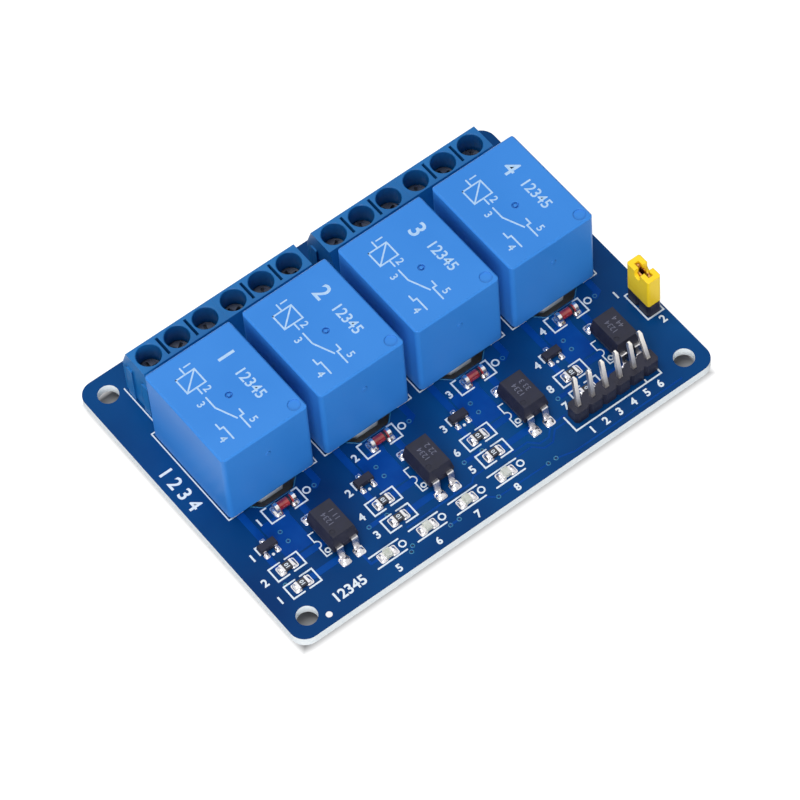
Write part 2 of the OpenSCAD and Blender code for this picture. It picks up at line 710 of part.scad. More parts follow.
module optocoupler(c)
    color(ic_black) translate([channel_x(c) + opto_dx, opto_y, board_t]) difference() {
        optocoupler_body();
        optocoupler_lead_set();
        translate([-opto_pitch / 2, opto_mark_inset - opto_l / 2, opto_lift + opto_body_h - opto_mark_depth])
            cylinder(d = opto_mark_d, h = 2 * opto_mark_depth, $fn = 24);
    }

module optocoupler_leads()
    color(tin) for (c = [0:channels - 1])
        translate([channel_x(c) + opto_dx, opto_y, board_t]) optocoupler_lead_set();

module transistor_lead_path() {
    mid = transistor_lift + transistor_h / 2;
    t = transistor_lead_t;
    bend_y = transistor_w / 2 + transistor_lead_out;
    foot_y = bend_y + transistor_lead_splay;
    inner_y = transistor_w / 2 - transistor_lead_in;
    polygon([[inner_y, mid + t / 2], [bend_y, mid + t / 2], [foot_y + t / 2, t],
             [transistor_span / 2, t], [transistor_span / 2, 0], [foot_y - t / 2, 0],
             [bend_y - t / 2, mid - t / 2], [inner_y, mid - t / 2]]);
}

// one lead at the back and two at the front
module transistor_lead_set() {
    along_x(transistor_lead_w) transistor_lead_path();
    for (x = [-1, 1]) translate([x * transistor_pitch / 2, 0, 0])
        rotate(180) along_x(transistor_lead_w) transistor_lead_path();
}

module transistor_bodies()
    color(ic_black) for (c = [0:channels - 1])
        translate([channel_x(c) + transistor_dx, transistor_y, board_t]) difference() {
            translate([0, 0, transistor_lift])
                moulded_body(transistor_l, transistor_w, 0, transistor_h / 2, transistor_h,
                             transistor_draft, transistor_draft);
            transistor_lead_set();
        }

module transistor_leads()
    color(tin) for (c = [0:channels - 1])
        translate([channel_x(c) + transistor_dx, transistor_y, board_t]) transistor_lead_set();

// glass diodes lie along X on their two end caps
module diode_tubes()
    color([0.75, 0.22, 0.1]) for (c = [0:channels - 1])
        translate([channel_x(c) + diode_dx, diode_y, board_t + diode_cap_d / 2]) rotate([0, 90, 0])
            cylinder(d = diode_d, h = diode_glass_l, center = true, $fn = fine);

module diode_caps()
    color(tin) for (c = [0:channels - 1], side = [-1, 1])
        translate([channel_x(c) + diode_dx + side * (diode_glass_l + diode_cap_l) / 2,
                   diode_y, board_t + diode_cap_d / 2])
            rotate([0, 90, 0]) cylinder(d = diode_cap_d, h = diode_cap_l, center = true, $fn = fine);

// middle of an 0805 chip between its metal ends, lying along X
module chip_middle(h)
    translate([0, 0, chip_proud + h / 2]) cube([chip_l - 2 * chip_end, chip_w, h], center = true);

module chip_ends(h)
    for (side = [-1, 1])
        translate([side * (chip_l - chip_end) / 2, 0, chip_proud + h / 2])
            cube([chip_end, chip_w + 2 * chip_proud, h + 2 * chip_proud], center = true);

module at_resistors()
    for (c = [0:channels - 1], y = resistor_rows)
        translate([channel_x(c) + chip_dx, y, board_t]) children();

module at_leds()
    for (i = [0:leds - 1]) translate([led_x + i * led_pitch, led_y, board_t]) children();

module resistor_chips() color([0.12, 0.12, 0.13]) at_resistors() chip_middle(chip_h);
module resistor_ends() color(tin) at_resistors() chip_ends(chip_h);

// chip of a light-emitting diode with its clear lens
module led_chips()
    color([0.9, 0.9, 0.82]) at_leds() {
        chip_middle(led_chip_h);
        translate([0, 0, chip_proud + led_chip_h]) intersection() {
            along_y(chip_w) lens_outline();
            translate([-led_lens_l, -chip_w / 2, -eps]) cube([2 * led_lens_l, chip_w, 2 * led_lens_h]);
        }
    }

module lens_outline()
    polygon([[-led_lens_l / 2, -eps], [led_lens_l / 2, -eps], [led_lens_l / 2, 0],
             [led_lens_l / 2 - led_lens_h / 5, led_lens_h], [led_lens_h / 5 - led_lens_l / 2, led_lens_h],
             [-led_lens_l / 2, 0]]);

module led_ends() color(tin) at_leds() chip_ends(led_chip_h);

// ---- pin headers and jumper cap ----

// header base of n segments along X, with a square hole for each pin
module header_strip(n)
    linear_extrude(header_base) difference() {
        for (p = [0:n - 1]) translate([(p - (n - 1) / 2) * pin_pitch, 0]) segment_outline();
        for (p = [0:n - 1]) translate([(p - (n - 1) / 2) * pin_pitch, 0])
            square(pin_w, center = true);
    }

module segment_outline() {
    w = pin_pitch / 2 + eps / 2;
    d = header_base / 2;
    polygon([[-w, segment_cut - d], [segment_cut - w, -d], [w - segment_cut, -d],
             [w, segment_cut - d], [w, d - segment_cut], [w - segment_cut, d],
             [segment_cut - w, d], [-w, d - segment_cut]]);
}

module signal_header_base()
    color(ic_black) translate([header_x, header_y, board_t]) header_strip(signal_pins);

module signal_header_pins()
    color(brass) for (p = [0:signal_pins - 1])
        translate([signal_pin_table[p][0], signal_pin_table[p][1], board_t + header_base]) {
            square_pin(pin_w, -board_t - header_base - pin_below, pin_bend_h + 3 * pin_bevel, pin_bevel);
            translate([0, 0, pin_bend_h]) rotate([-pin_lean_y[p], pin_lean_x[p], 0])
                square_pin(pin_w, -pin_bevel, pin_above - pin_bend_h, pin_bevel);
        }

module supply_header_base()
    color(ic_black) translate([supply_x, supply_y, board_t]) rotate(90) header_strip(2);

module supply_header_pins()
    color(brass) for (p = supply_pin_table)
        translate([p[0], p[1], board_t])
            square_pin(pin_w, -board_t - pin_below, header_base + supply_pin_above, pin_bevel);

module jumper_cap()
    color([0.97, 0.83, 0.2]) translate([supply_x, supply_y, cap_z]) difference() {
        linear_extrude(cap_h) rounded_rect(cap_w, cap_l, cap_edge_r);
        translate([0, 0, cavity_h / 2 - eps])
            cube([contact_w + 2 * cap_gap, contact_l + 2 * cap_gap, cavity_h + 2 * eps], center = true);
        translate([0, 0, cap_h]) cube([cap_slot_w, cap_slot_l, 3 * cap_roof], center = true);
        translate([0, 0, cap_h]) along_x(2 * cap_w) notch_outline();
    }

// U-shaped notch that cuts down from the top of both long sides
module notch_outline() {
    r = cap_notch_w / 2;
    translate([-r, r - cap_notch_depth]) square([cap_notch_w, cap_notch_depth]);
    translate([0, r - cap_notch_depth]) circle(r, $fn = fine);
}

// sprung brass sleeve in the cap that joins the two pins, split along one side
module jumper_contact()
    color(brass) translate([supply_x, supply_y, cap_z]) linear_extrude(cavity_h - contact_top_gap)
        difference() {
            square([contact_w, contact_l], center = true);
            square([contact_w - 2 * contact_t, contact_l - 2 * contact_t], center = true);
            translate([contact_w / 2, 0]) square([2 * contact_t + eps, contact_split], center = true);
        }

circuit_board();
solder_joints();
for (c = [0:channels - 1]) {
    relay_cover(c);
    relay_base(c);
    optocoupler(c);
}
relay_pins();
for (b = [0:blocks - 1])
    terminal_housing(b);
terminal_frames();
for (n = [0:way_count - 1]) {
    clamp_screw(n);
    wire_guard(n);
}
optocoupler_leads();
transistor_bodies();
transistor_leads();
diode_tubes();
diode_caps();
resistor_chips();
resistor_ends();
led_chips();
led_ends();
signal_header_base();
signal_header_pins();
supply_header_base();
supply_header_pins();
jumper_cap();
jumper_contact();
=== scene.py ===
# %% [markdown]
# # A four-channel relay board
#
# This notebook dresses a finished CAD model of a relay board: a blue circuit board with four
# sealed relays, four screw terminals and the small parts that drive the relays. The CAD frame
# gives every piece its place. Here each piece gets its surface: solder mask over copper,
# printed lines, solder, moulded plastic, glass and plated metal.

# %% Load the frame
import math

import bmesh
import bpy
import numpy as np
from mathutils import Matrix, Vector


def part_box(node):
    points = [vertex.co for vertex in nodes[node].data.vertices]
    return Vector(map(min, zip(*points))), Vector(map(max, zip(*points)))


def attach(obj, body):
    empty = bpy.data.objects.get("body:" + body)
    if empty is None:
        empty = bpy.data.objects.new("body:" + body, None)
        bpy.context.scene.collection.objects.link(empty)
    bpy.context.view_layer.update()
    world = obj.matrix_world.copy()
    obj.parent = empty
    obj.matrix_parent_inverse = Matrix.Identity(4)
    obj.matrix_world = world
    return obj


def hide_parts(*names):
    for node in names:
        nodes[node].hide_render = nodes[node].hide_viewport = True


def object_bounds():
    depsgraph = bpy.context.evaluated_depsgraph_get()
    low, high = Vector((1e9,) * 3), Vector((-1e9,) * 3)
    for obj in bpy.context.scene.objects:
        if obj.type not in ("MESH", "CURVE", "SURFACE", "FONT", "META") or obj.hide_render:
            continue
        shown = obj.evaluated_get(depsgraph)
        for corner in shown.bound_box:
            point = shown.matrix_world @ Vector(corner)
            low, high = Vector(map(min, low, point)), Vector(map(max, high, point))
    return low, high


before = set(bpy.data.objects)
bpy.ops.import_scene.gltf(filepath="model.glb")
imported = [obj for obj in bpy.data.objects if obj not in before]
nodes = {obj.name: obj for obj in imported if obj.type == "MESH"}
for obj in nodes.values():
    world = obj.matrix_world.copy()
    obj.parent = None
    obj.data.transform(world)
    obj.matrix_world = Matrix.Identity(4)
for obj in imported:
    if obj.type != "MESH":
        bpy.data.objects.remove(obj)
scene = bpy.context.scene
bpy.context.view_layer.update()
MM = 0.001
ROOT = "board"

# %% [markdown]
# ## Places that the CAD model gives
#
# The board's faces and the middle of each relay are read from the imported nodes' boxes, in
# millimetres, and what is printed or soldered on the board is placed from them.

# %% Read the places


def box_mm(node):
    """Lowest and highest corner of a CAD node in millimetres, as two arrays."""
    low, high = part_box(node)
    return np.array(low) / MM, np.array(high) / MM


def middle_mm(node):
    """Middle of a CAD node's box in millimetres: half the sum of its corners."""
    low, high = box_mm(node)
    return (low + high) / 2


def loose_boxes(node):
    """Boxes of the separate solids of one node, as an array (n, 2, 3), sorted along X then Y."""
    mesh = bmesh.new()
    mesh.from_mesh(nodes[node].data)
    bmesh.ops.remove_doubles(mesh, verts=mesh.verts, dist=1e-7)
    mesh.verts.ensure_lookup_table()
    seen, found = set(), []
    for start in mesh.verts:
        if start in seen:
            continue
        group, stack = [], [start]
        seen.add(start)
        while stack:
            v = stack.pop()
            group.append(v.co[:])
            for e in v.link_edges:
                w = e.other_vert(v)
                if w not in seen:
                    seen.add(w)
                    stack.append(w)
        group = np.array(group) / MM
        found.append([group.min(0), group.max(0)])
    mesh.free()
    found.sort(key=lambda b: (round(b[0][0], 2), round(b[0][1], 2)))
    return np.array(found)


board_low, board_high = box_mm("circuit_board")
TOP = board_high[2]
UNDER = board_low[2]
relays = [middle_mm(f"relay_cover_{n}") for n in range(1, 5)]
channel_x = [r[0] for r in relays]
relay_top = box_mm("relay_cover_1")[1][2]
print("board top", round(TOP, 3), "relays at x", [round(float(x), 2) for x in channel_x])

# %% [markdown]
# ## The camera
#
# The camera stands in front of the board and to its left, and looks down steeply through a long
# lens, with a slight roll. A long lens keeps parallel edges almost parallel. We build the
# camera's matrix from its three directions, because a roll is easiest to state that way.

# %% Camera
AZIMUTH, ELEVATION, ROLL = math.radians(-33.044), math.radians(56.677), math.radians(-5.369)
DISTANCE = 671.52 * MM
AIM = Vector((-2.042 * MM, -3.65 * MM, TOP * MM))
LENS, SENSOR = 210.47, 36.0

back = Vector((math.sin(AZIMUTH) * math.cos(ELEVATION), -math.cos(AZIMUTH) * math.cos(ELEVATION),
               math.sin(ELEVATION)))
level_right = Vector((math.cos(AZIMUTH), math.sin(AZIMUTH), 0))
level_up = back.cross(level_right)
cam_right = math.cos(ROLL) * level_right + math.sin(ROLL) * level_up
cam_up = -math.sin(ROLL) * level_right + math.cos(ROLL) * level_up
place = AIM + back * DISTANCE

camera_data = bpy.data.cameras.new("camera")
camera_data.lens = LENS
camera_data.sensor_width = SENSOR
camera_data.clip_start = 0.01
camera_data.clip_end = 20
camera = bpy.data.objects.new("camera", camera_data)
turn = Matrix((cam_right, cam_up, back)).transposed().to_4x4()
camera.matrix_world = Matrix.Translation(place) @ turn
scene.collection.objects.link(camera)
scene.camera = camera
print("camera at", [round(c, 3) for c in place])

# %% [markdown]
# ## Floor, world and lamps
#
# The board lies on a white table in soft light. The floor is almost white, and a little light
# of its own, which only the camera and reflections see, lifts it to white. That light fades out
# under the board, so the gap below it, seen through its holes and slots, stays as dark as a real
# shadow. Two large lamps stand in for softboxes, and give the plastic no hard spots of light.

# %% Stage
scene.view_settings.view_transform = "Standard"
FLOOR_TONE = 0.4
FLOOR_GLOW, GLOW_FADE = 0.8, 1.5 * MM
FLOOR_GAP = 0.02 * MM
WHITE = (1, 1, 1, 1)
FILL_COLOR, FILL_STRENGTH = (0.97, 0.985, 1.0, 1), 0.4
SOFTBOX_SIZE = 0.60


def fresh_tree(owner, output):
    """Emptied node tree of a material or world, and the socket that its surface goes to."""
    owner.use_nodes = True
    owner.node_tree.nodes.clear()
    return owner.node_tree, owner.node_tree.nodes.new(output).inputs["Surface"]


def link(tree, source, target):
    """Joins an output socket to an input socket."""
    tree.links.new(source, target)


def compute(tree, operation, *values, clamp=False):
    """Output socket of a Math node that works on sockets or plain numbers."""
    node = tree.nodes.new("ShaderNodeMath")
    node.operation = operation
    node.use_clamp = clamp
    for target, value in zip(node.inputs, values):
        if isinstance(value, bpy.types.NodeSocket):
            link(tree, value, target)
        else:
            target.default_value = value
    return node.outputs[0]


def remap(tree, value, low, high, start=0.0, stop=1.0):
    """Output socket that runs from low to high while value runs from start to stop."""
    node = tree.nodes.new("ShaderNodeMapRange")
    ends = {"From Min": start, "From Max": stop, "To Min": low, "To Max": high}
    for label, number in ends.items():
        node.inputs[label].default_value = number
    link(tree, value, node.inputs["Value"])
    return node.outputs["Result"]


def blend(tree, factor, first, second):
    """Colour socket between two colour sockets."""
    node = tree.nodes.new("ShaderNodeMix")
    node.data_type = "RGBA"
    for label, source in (("Factor", factor), ("A", first), ("B", second)):
        link(tree, source, node.inputs[label])
    return node.outputs["Result"]


def seen_directly(tree):
    """Value socket that is 1 for rays from the camera, from gloss and through glass."""
    path = tree.nodes.new("ShaderNodeLightPath").outputs
    straight = compute(tree, "ADD", path["Is Camera Ray"], path["Is Glossy Ray"])
    return compute(tree, "ADD", straight, path["Is Transmission Ray"], clamp=True)


def beyond_board(tree):
    """Glow strength on the floor: 0 under the board, rising over a short fade to its edge.

    The distance is max(|x| - half width, |y| - half depth), from Object coordinates.
    """
    coords = tree.nodes.new("ShaderNodeTexCoord")
    split = tree.nodes.new("ShaderNodeSeparateXYZ")
    link(tree, coords.outputs["Object"], split.inputs[0])
    past = [compute(tree, "SUBTRACT", compute(tree, "ABSOLUTE", split.outputs[axis]), half * MM)
            for axis, half in zip("XY", board_high)]
    return remap(tree, compute(tree, "MAXIMUM", *past), 0.0, FLOOR_GLOW, -GLOW_FADE, 0.0)


def make_floor(level, reach=3.0, rows=9):
    """Square floor, 2 x reach metres wide, as a coarse grid at the given height in metres."""
    steps = np.linspace(-reach, reach, rows)
    x, y = np.meshgrid(steps, steps, indexing="ij")
    points = np.stack([x, y, np.full_like(x, level)], axis=-1).reshape(-1, 3)
    n = len(steps)
    i, j = np.meshgrid(np.arange(n - 1), np.arange(n - 1), indexing="ij")
    first = (i * n + j).ravel()
    faces = np.stack([first, first + n, first + n + 1, first + 1], axis=1)
    mesh = bpy.data.meshes.new("floor")
    mesh.from_pydata(points.tolist(), [], faces.tolist())
    floor = bpy.data.objects.new("floor", mesh)
    scene.collection.objects.link(floor)
    return floor


floor_paint = bpy.data.materials.new("floor_white")
tree, surface = fresh_tree(floor_paint, "ShaderNodeOutputMaterial")
matte = tree.nodes.new("ShaderNodeBsdfDiffuse")
matte.inputs["Color"].default_value = (FLOOR_TONE, FLOOR_TONE, FLOOR_TONE, 1)
own_light = tree.nodes.new("ShaderNodeEmission")
own_light.inputs["Color"].default_value = WHITE
glow = compute(tree, "MULTIPLY", beyond_board(tree), seen_directly(tree))
link(tree, glow, own_light.inputs["Strength"])
sum_shader = tree.nodes.new("ShaderNodeAddShader")
link(tree, matte.outputs[0], sum_shader.inputs[0])
link(tree, own_light.outputs[0], sum_shader.inputs[1])
link(tree, sum_shader.outputs[0], surface)

floor = make_floor(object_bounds()[0][2] - FLOOR_GAP)
floor.data.materials.append(floor_paint)

world = bpy.data.worlds.new("studio")
scene.world = world
tree, surface = fresh_tree(world, "ShaderNodeOutputWorld")
choose = tree.nodes.new("ShaderNodeMixShader")
link(tree, seen_directly(tree), choose.inputs["Fac"])
for place_in, color, strength in ((1, FILL_COLOR, FILL_STRENGTH), (2, WHITE, 1.0)):
    backdrop = tree.nodes.new("ShaderNodeBackground")
    backdrop.inputs["Color"].default_value = color
    backdrop.inputs["Strength"].default_value = strength
    link(tree, backdrop.outputs[0], choose.inputs[place_in])
link(tree, choose.outputs[0], surface)


def softbox(name, at, power):
    """Square area lamp at a place in metres, aimed at the middle of the board."""
    lamp = bpy.data.lights.new(name, "AREA")
    lamp.shape = "SQUARE"
    lamp.size = SOFTBOX_SIZE
    lamp.energy = power
    holder = bpy.data.objects.new(name, lamp)
    holder.location = at
    holder.rotation_euler = (-Vector(at)).to_track_quat("-Z", "Y").to_euler()
    scene.collection.objects.link(holder)


softbox("softbox_top", (-0.20, 0.20, 1.00), 5.6)
softbox("softbox_front", (-0.58, -0.82, 0.45), 7.6)
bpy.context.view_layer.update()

# %% [markdown]
# ## Shader groups that several finishes share
#
# Plastic, solder mask and metal all have a fine grain that scatters the light, and a colour that
# drifts a little from place to place. Each is a node group, built once. Scales are in features
# per metre, so 4000 means one every quarter of a millimetre, read from Object coordinates.

# %% Node groups
SWELL_SHARE, SWELL_DETAIL = 0.08, 1.0
GRAIN_DETAIL, DRIFT_DETAIL = 3.0, 4.0
DRIFT_FROM, DRIFT_TO = 0.35, 0.65


def new_group(name, given, made):
    """Empty node group with its input and output nodes; tuples and "Color" stand for colours."""
    group = bpy.data.node_groups.new(name, "ShaderNodeTree")
    for label, value in given.items():
        kind = "NodeSocketColor" if isinstance(value, tuple) else "NodeSocketFloat"
        socket = group.interface.new_socket(label, in_out="INPUT", socket_type=kind)
        socket.default_value = value
    for label in made:
        kind = "NodeSocketColor" if label == "Color" else "NodeSocketFloat"
        group.interface.new_socket(label, in_out="OUTPUT", socket_type=kind)
    return group, group.nodes.new("NodeGroupInput"), group.nodes.new("NodeGroupOutput")


def noise_in(group, given, factor, detail):
    """Noise that reads Object coordinates at the group's Scale times a factor."""
    coords = group.nodes.new("ShaderNodeTexCoord")
    noise = group.nodes.new("ShaderNodeTexNoise")
    noise.inputs["Detail"].default_value = detail
    link(group, coords.outputs["Object"], noise.inputs["Vector"])
    scale = compute(group, "MULTIPLY", given.outputs["Scale"], factor)
    link(group, scale, noise.inputs["Scale"])
    return noise.outputs["Fac"]


def make_fine_grain():
    """Height = fine noise plus a much broader swell, weighted by Swell."""
    group, given, made = new_group("fine_grain", {"Scale": 4000.0, "Swell": 0.5}, ["Height"])
    fine = noise_in(group, given, 1.0, GRAIN_DETAIL)
    broad = noise_in(group, given, SWELL_SHARE, SWELL_DETAIL)
    height = compute(group, "MULTIPLY_ADD", broad, given.outputs["Swell"], fine)
    link(group, height, made.inputs["Height"])
    return group


def make_tone_drift():
    """Color = Base blended towards Other by broad noise, at most by Amount; Mask is the noise."""
    group, given, made = new_group(
        "tone_drift", {"Base": WHITE, "Other": WHITE, "Scale": 200.0, "Amount": 0.5},
        ["Color", "Mask"])
    drift = noise_in(group, given, 1.0, DRIFT_DETAIL)
    mask = remap(group, drift, 0.0, 1.0, DRIFT_FROM, DRIFT_TO)
    share = compute(group, "MULTIPLY", mask, given.outputs["Amount"])
    color = blend(group, share, given.outputs["Base"], given.outputs["Other"])
    link(group, color, made.inputs["Color"])
    link(group, mask, made.inputs["Mask"])
    return group


fine_grain = make_fine_grain()
tone_drift = make_tone_drift()
print("node groups:", fine_grain.name, tone_drift.name)

# %% [markdown]
# ## One recipe for most finishes
#
# A finish is a Principled shader with its colour from the tone drift, its roughness nudged by
# the same noise, and its normal from a bump that the fine grain drives. Only the numbers differ
# from one finish to the next. Written colours are the ones the eye sees, turned into linear
# light here.

# %% Finish recipe
COAT_ROUGHNESS = 0.12
EDGE_SAMPLES = 6


def linear(color):
    """Seen colour (0 to 255 a channel) as linear light: ((c + 0.055) / 1.055) ^ 2.4."""
    c = np.array(color, float) / 255
    low = c / 12.92
    high = ((c + 0.055) / 1.055) ** 2.4
    return tuple(np.where(c <= 0.04045, low, high)) + (1.0,)


def start_material(name):
    """Material with only an output and a Principled shader."""
    material = bpy.data.materials.new(name)
    tree, surface = fresh_tree(material, "ShaderNodeOutputMaterial")
    shader = tree.nodes.new("ShaderNodeBsdfPrincipled")
    link(tree, shader.outputs[0], surface)
    return material, tree, shader


def add_group(tree, group, **values):
    """Places a node group and sets its inputs, whose names are given with _ for a blank."""
    node = tree.nodes.new("ShaderNodeGroup")
    node.node_tree = group
    for label, value in values.items():
        node.inputs[label.replace("_", " ")].default_value = value
    return node


def add_grain(tree, shader, scale, depth, swell=0.5, soft_edge=0.0):
    """Feeds the shader's Normal from the fine grain, depth metres deep.

    soft_edge is the radius in metres to which the light treats sharp edges as rounded.
    """
    grain = add_group(tree, fine_grain, Scale=scale, Swell=swell)
    bump = tree.nodes.new("ShaderNodeBump")
    bump.inputs["Strength"].default_value = 1.0
    bump.inputs["Distance"].default_value = depth
    link(tree, grain.outputs["Height"], bump.inputs["Height"])
    if soft_edge:
        rounding = tree.nodes.new("ShaderNodeBevel")
        rounding.samples = EDGE_SAMPLES
        rounding.inputs["Radius"].default_value = soft_edge
        link(tree, rounding.outputs["Normal"], bump.inputs["Normal"])
    link(tree, bump.outputs["Normal"], shader.inputs["Normal"])


def add_rough_drift(tree, shader, mask, low, high):
    """Roughness runs from low to high with a mask."""
    link(tree, remap(tree, mask, low, high), shader.inputs["Roughness"])


def add_tone(tree, color, other, scale, amount):
    """Tone drift node between two seen colours."""
    return add_group(tree, tone_drift, Base=linear(color), Other=linear(other), Scale=scale,
                     Amount=amount)


def finish(name, color, other, rough, metal=0.0, grain=(4000, 2e-6), drift=(150, 0.5),
           specular=0.5, coat=0.0, soft_edge=0.0):
    """Finish from the recipe above. other is the colour that color drifts towards.

    rough is its lowest and highest roughness, grain its scale and depth in metres, and drift the
    scale and amount of the change of tone.
    """
    material, tree, shader = start_material(name)
    tone = add_tone(tree, color, other, *drift)
    link(tree, tone.outputs["Color"], shader.inputs["Base Color"])
    add_rough_drift(tree, shader, tone.outputs["Mask"], *rough)
    shader.inputs["Metallic"].default_value = metal
    shader.inputs["Specular IOR Level"].default_value = specular
    shader.inputs["Coat Weight"].default_value = coat
    shader.inputs["Coat Roughness"].default_value = COAT_ROUGHNESS
    add_grain(tree, shader, *grain, soft_edge=soft_edge)
    return material


def dress(node, material):
    """Gives a CAD node's object one material in every slot."""
    target = nodes[node]
    if not target.data.materials:
        target.data.materials.append(material)
    for slot in target.material_slots:
        slot.link = "OBJECT"
        slot.material = material


print("recipe ready")

# %% [markdown]
# ## Plastics
#
# The relay covers are a satin mid blue, and the terminals a deeper, glossier blue. Optocouplers
# and transistors are an almost black, matt moulding compound, and the header bases are a black
# plastic with a slight sheen.

# %% Plastics
relay_plastic = finish("relay_plastic", (50, 128, 212), (58, 136, 220), (0.36, 0.46),
                       grain=(6000, 1.6e-6), drift=(60, 0.6), specular=0.26, soft_edge=0.00022)
terminal_plastic = finish("terminal_plastic", (20, 106, 174), (30, 118, 186), (0.3, 0.4),
                          grain=(5000, 1.4e-6), drift=(90, 0.6), specular=0.3, soft_edge=0.0001)
black_plastic = finish("black_plastic", (28, 29, 44), (42, 43, 60), (0.34, 0.46),
                       grain=(7000, 2.5e-6), drift=(400, 0.6), specular=0.3, soft_edge=0.0001)
moulding_compound = finish("moulding_compound", (26, 27, 42), (38, 39, 56), (0.46, 0.6),
                           grain=(9000, 5e-6), drift=(700, 0.7), specular=0.3, soft_edge=0.0001)
yellow_plastic = finish("yellow_plastic", (252, 212, 18), (254, 222, 46), (0.36, 0.46),
                        grain=(6000, 1.4e-6), drift=(200, 0.6), specular=0.4, soft_edge=0.00018)
print("plastics made")

# %% [markdown]
# ## Metals
#
# Solder and tinned leads are bright and a little uneven. The terminal screws and guards are
# zinc-plated steel, duller and finely scratched. The header pins are plated brass with a pale,
# warm shine. The two supply pins and the jumper's contact keep more of their copper colour.

# %% Metals
solder_metal = finish("solder_metal", (228, 226, 228), (204, 202, 208), (0.12, 0.26), 1.0,
                      (1500, 1.6e-6), (700, 0.8))
tinned_metal = finish("tinned_metal", (232, 230, 230), (210, 208, 212), (0.2, 0.32), 1.0,
                      (2500, 0.4e-6), (700, 0.7))
plated_steel = finish("plated_steel", (118, 122, 132), (92, 98, 110), (0.24, 0.4), 1.0,
                      (3000, 1.5e-6), (700, 0.8))
pin_metal = finish("pin_metal", (240, 236, 230), (226, 220, 212), (0.32, 0.4), 1.0,
                   (2500, 0.05e-6), (200, 0.7))
contact_metal = finish("contact_metal", (226, 168, 104), (200, 138, 78), (0.26, 0.4), 1.0,
                       (3000, 0.8e-6), (600, 0.7))
print("metals made")

# %% [markdown]
# ## Glass, resin and ceramic
#
# The diodes are small glass tubes with a red-brown body, so they get a clear coat over a deep
# red. The light-emitting chips sit under a milky clear resin. Chip resistors show a black glaze
# between tinned ends.

# %% Glass and ceramic
RESIN_CLEARNESS, RESIN_IOR = 0.35, 1.5
red_glass = finish("red_glass", (122, 12, 26), (176, 52, 48), (0.08, 0.16), grain=(2500, 1e-6),
                   drift=(900, 0.8), coat=1.0)
chip_glaze = finish("chip_glaze", (34, 34, 42), (58, 58, 66), (0.22, 0.36), grain=(6000, 2e-6),
                    drift=(1200, 0.7))
clear_resin, tree, shader = start_material("clear_resin")
tone = add_tone(tree, (236, 238, 232), (206, 212, 196), 1500.0, 0.8)
link(tree, tone.outputs["Color"], shader.inputs["Base Color"])
add_rough_drift(tree, shader, tone.outputs["Mask"], 0.08, 0.2)
shader.inputs["Transmission Weight"].default_value = RESIN_CLEARNESS
shader.inputs["IOR"].default_value = RESIN_IOR
add_grain(tree, shader, 3000, 1e-6)
print("glass, glaze and resin made")

# %% [markdown]
# ## Solder mask and the board's edge
#
# Solder mask is a thin blue lacquer: navy over bare laminate and brighter over copper. The
# laminate itself is pale where the board, its holes and its slots were cut. One material shows
# both: its surface normal points straight up or down on the two faces and sideways on every cut
# wall, which tells lacquer from bare edge.

# %% Board finish
MASK_DARK, MASK_LIGHT = (2, 48, 102), (6, 68, 126)
COPPER_DARK, COPPER_LIGHT = (1, 60, 138), (4, 72, 152)
CUT_EDGE, CUT_SHADE = (244, 248, 250), (226, 236, 242)
CUT_ROUGH, LACQUER_ROUGH = 0.7, 0.3
LACQUER_GLOSS = 0.08
LEVEL_ENOUGH = 0.5
LACQUER_GRAIN = (2600, 2e-6)


def make_board_mask():
    """Lacquer on the board's two faces, pale laminate on its cut walls."""
    material, tree, shader = start_material("board_mask")
    lacquer = add_tone(tree, MASK_DARK, MASK_LIGHT, 32.0, 1.0)
    cut = add_tone(tree, CUT_EDGE, CUT_SHADE, 2500.0, 0.7)
    geometry = tree.nodes.new("ShaderNodeNewGeometry")
    split = tree.nodes.new("ShaderNodeSeparateXYZ")
    link(tree, geometry.outputs["True Normal"], split.inputs[0])
    tilt = compute(tree, "ABSOLUTE", split.outputs["Z"])
    face = compute(tree, "GREATER_THAN", tilt, LEVEL_ENOUGH)
    color = blend(tree, face, cut.outputs["Color"], lacquer.outputs["Color"])
    link(tree, color, shader.inputs["Base Color"])
    link(tree, remap(tree, face, CUT_ROUGH, LACQUER_ROUGH), shader.inputs["Roughness"])
    shader.inputs["Specular IOR Level"].default_value = LACQUER_GLOSS
    add_grain(tree, shader, *LACQUER_GRAIN, swell=0.8)
    return material


board_mask = make_board_mask()
copper_mask = finish("mask_over_copper", COPPER_DARK, COPPER_LIGHT, (0.3, 0.4),
                     grain=LACQUER_GRAIN, drift=(300, 0.7), specular=LACQUER_GLOSS)
ring_mask = finish("mask_over_ring", (24, 100, 140), (40, 122, 160), (0.28, 0.4),
                   grain=LACQUER_GRAIN, drift=(700, 0.7))
print_white = finish("print_white", (226, 234, 240), (204, 216, 226), (0.55, 0.7),
                     grain=(7000, 3e-6), drift=(1800, 0.6))
relay_print = finish("relay_print", (176, 206, 236), (150, 190, 230), (0.5, 0.62),
                     grain=(7000, 2e-6), drift=(1500, 0.7))
# painted shade: a near-black finish for the discs that stand for the shaded inside of the via holes
painted_hole_shade = finish("painted_hole_shade", (8, 22, 44), (14, 32, 60), (0.6, 0.8), drift=(900, 0.5))
print("board finishes made")

# %% [markdown]
# ## Finishes go onto the CAD pieces
#
# Every CAD node keeps its shape and takes its finish by its name without the number.

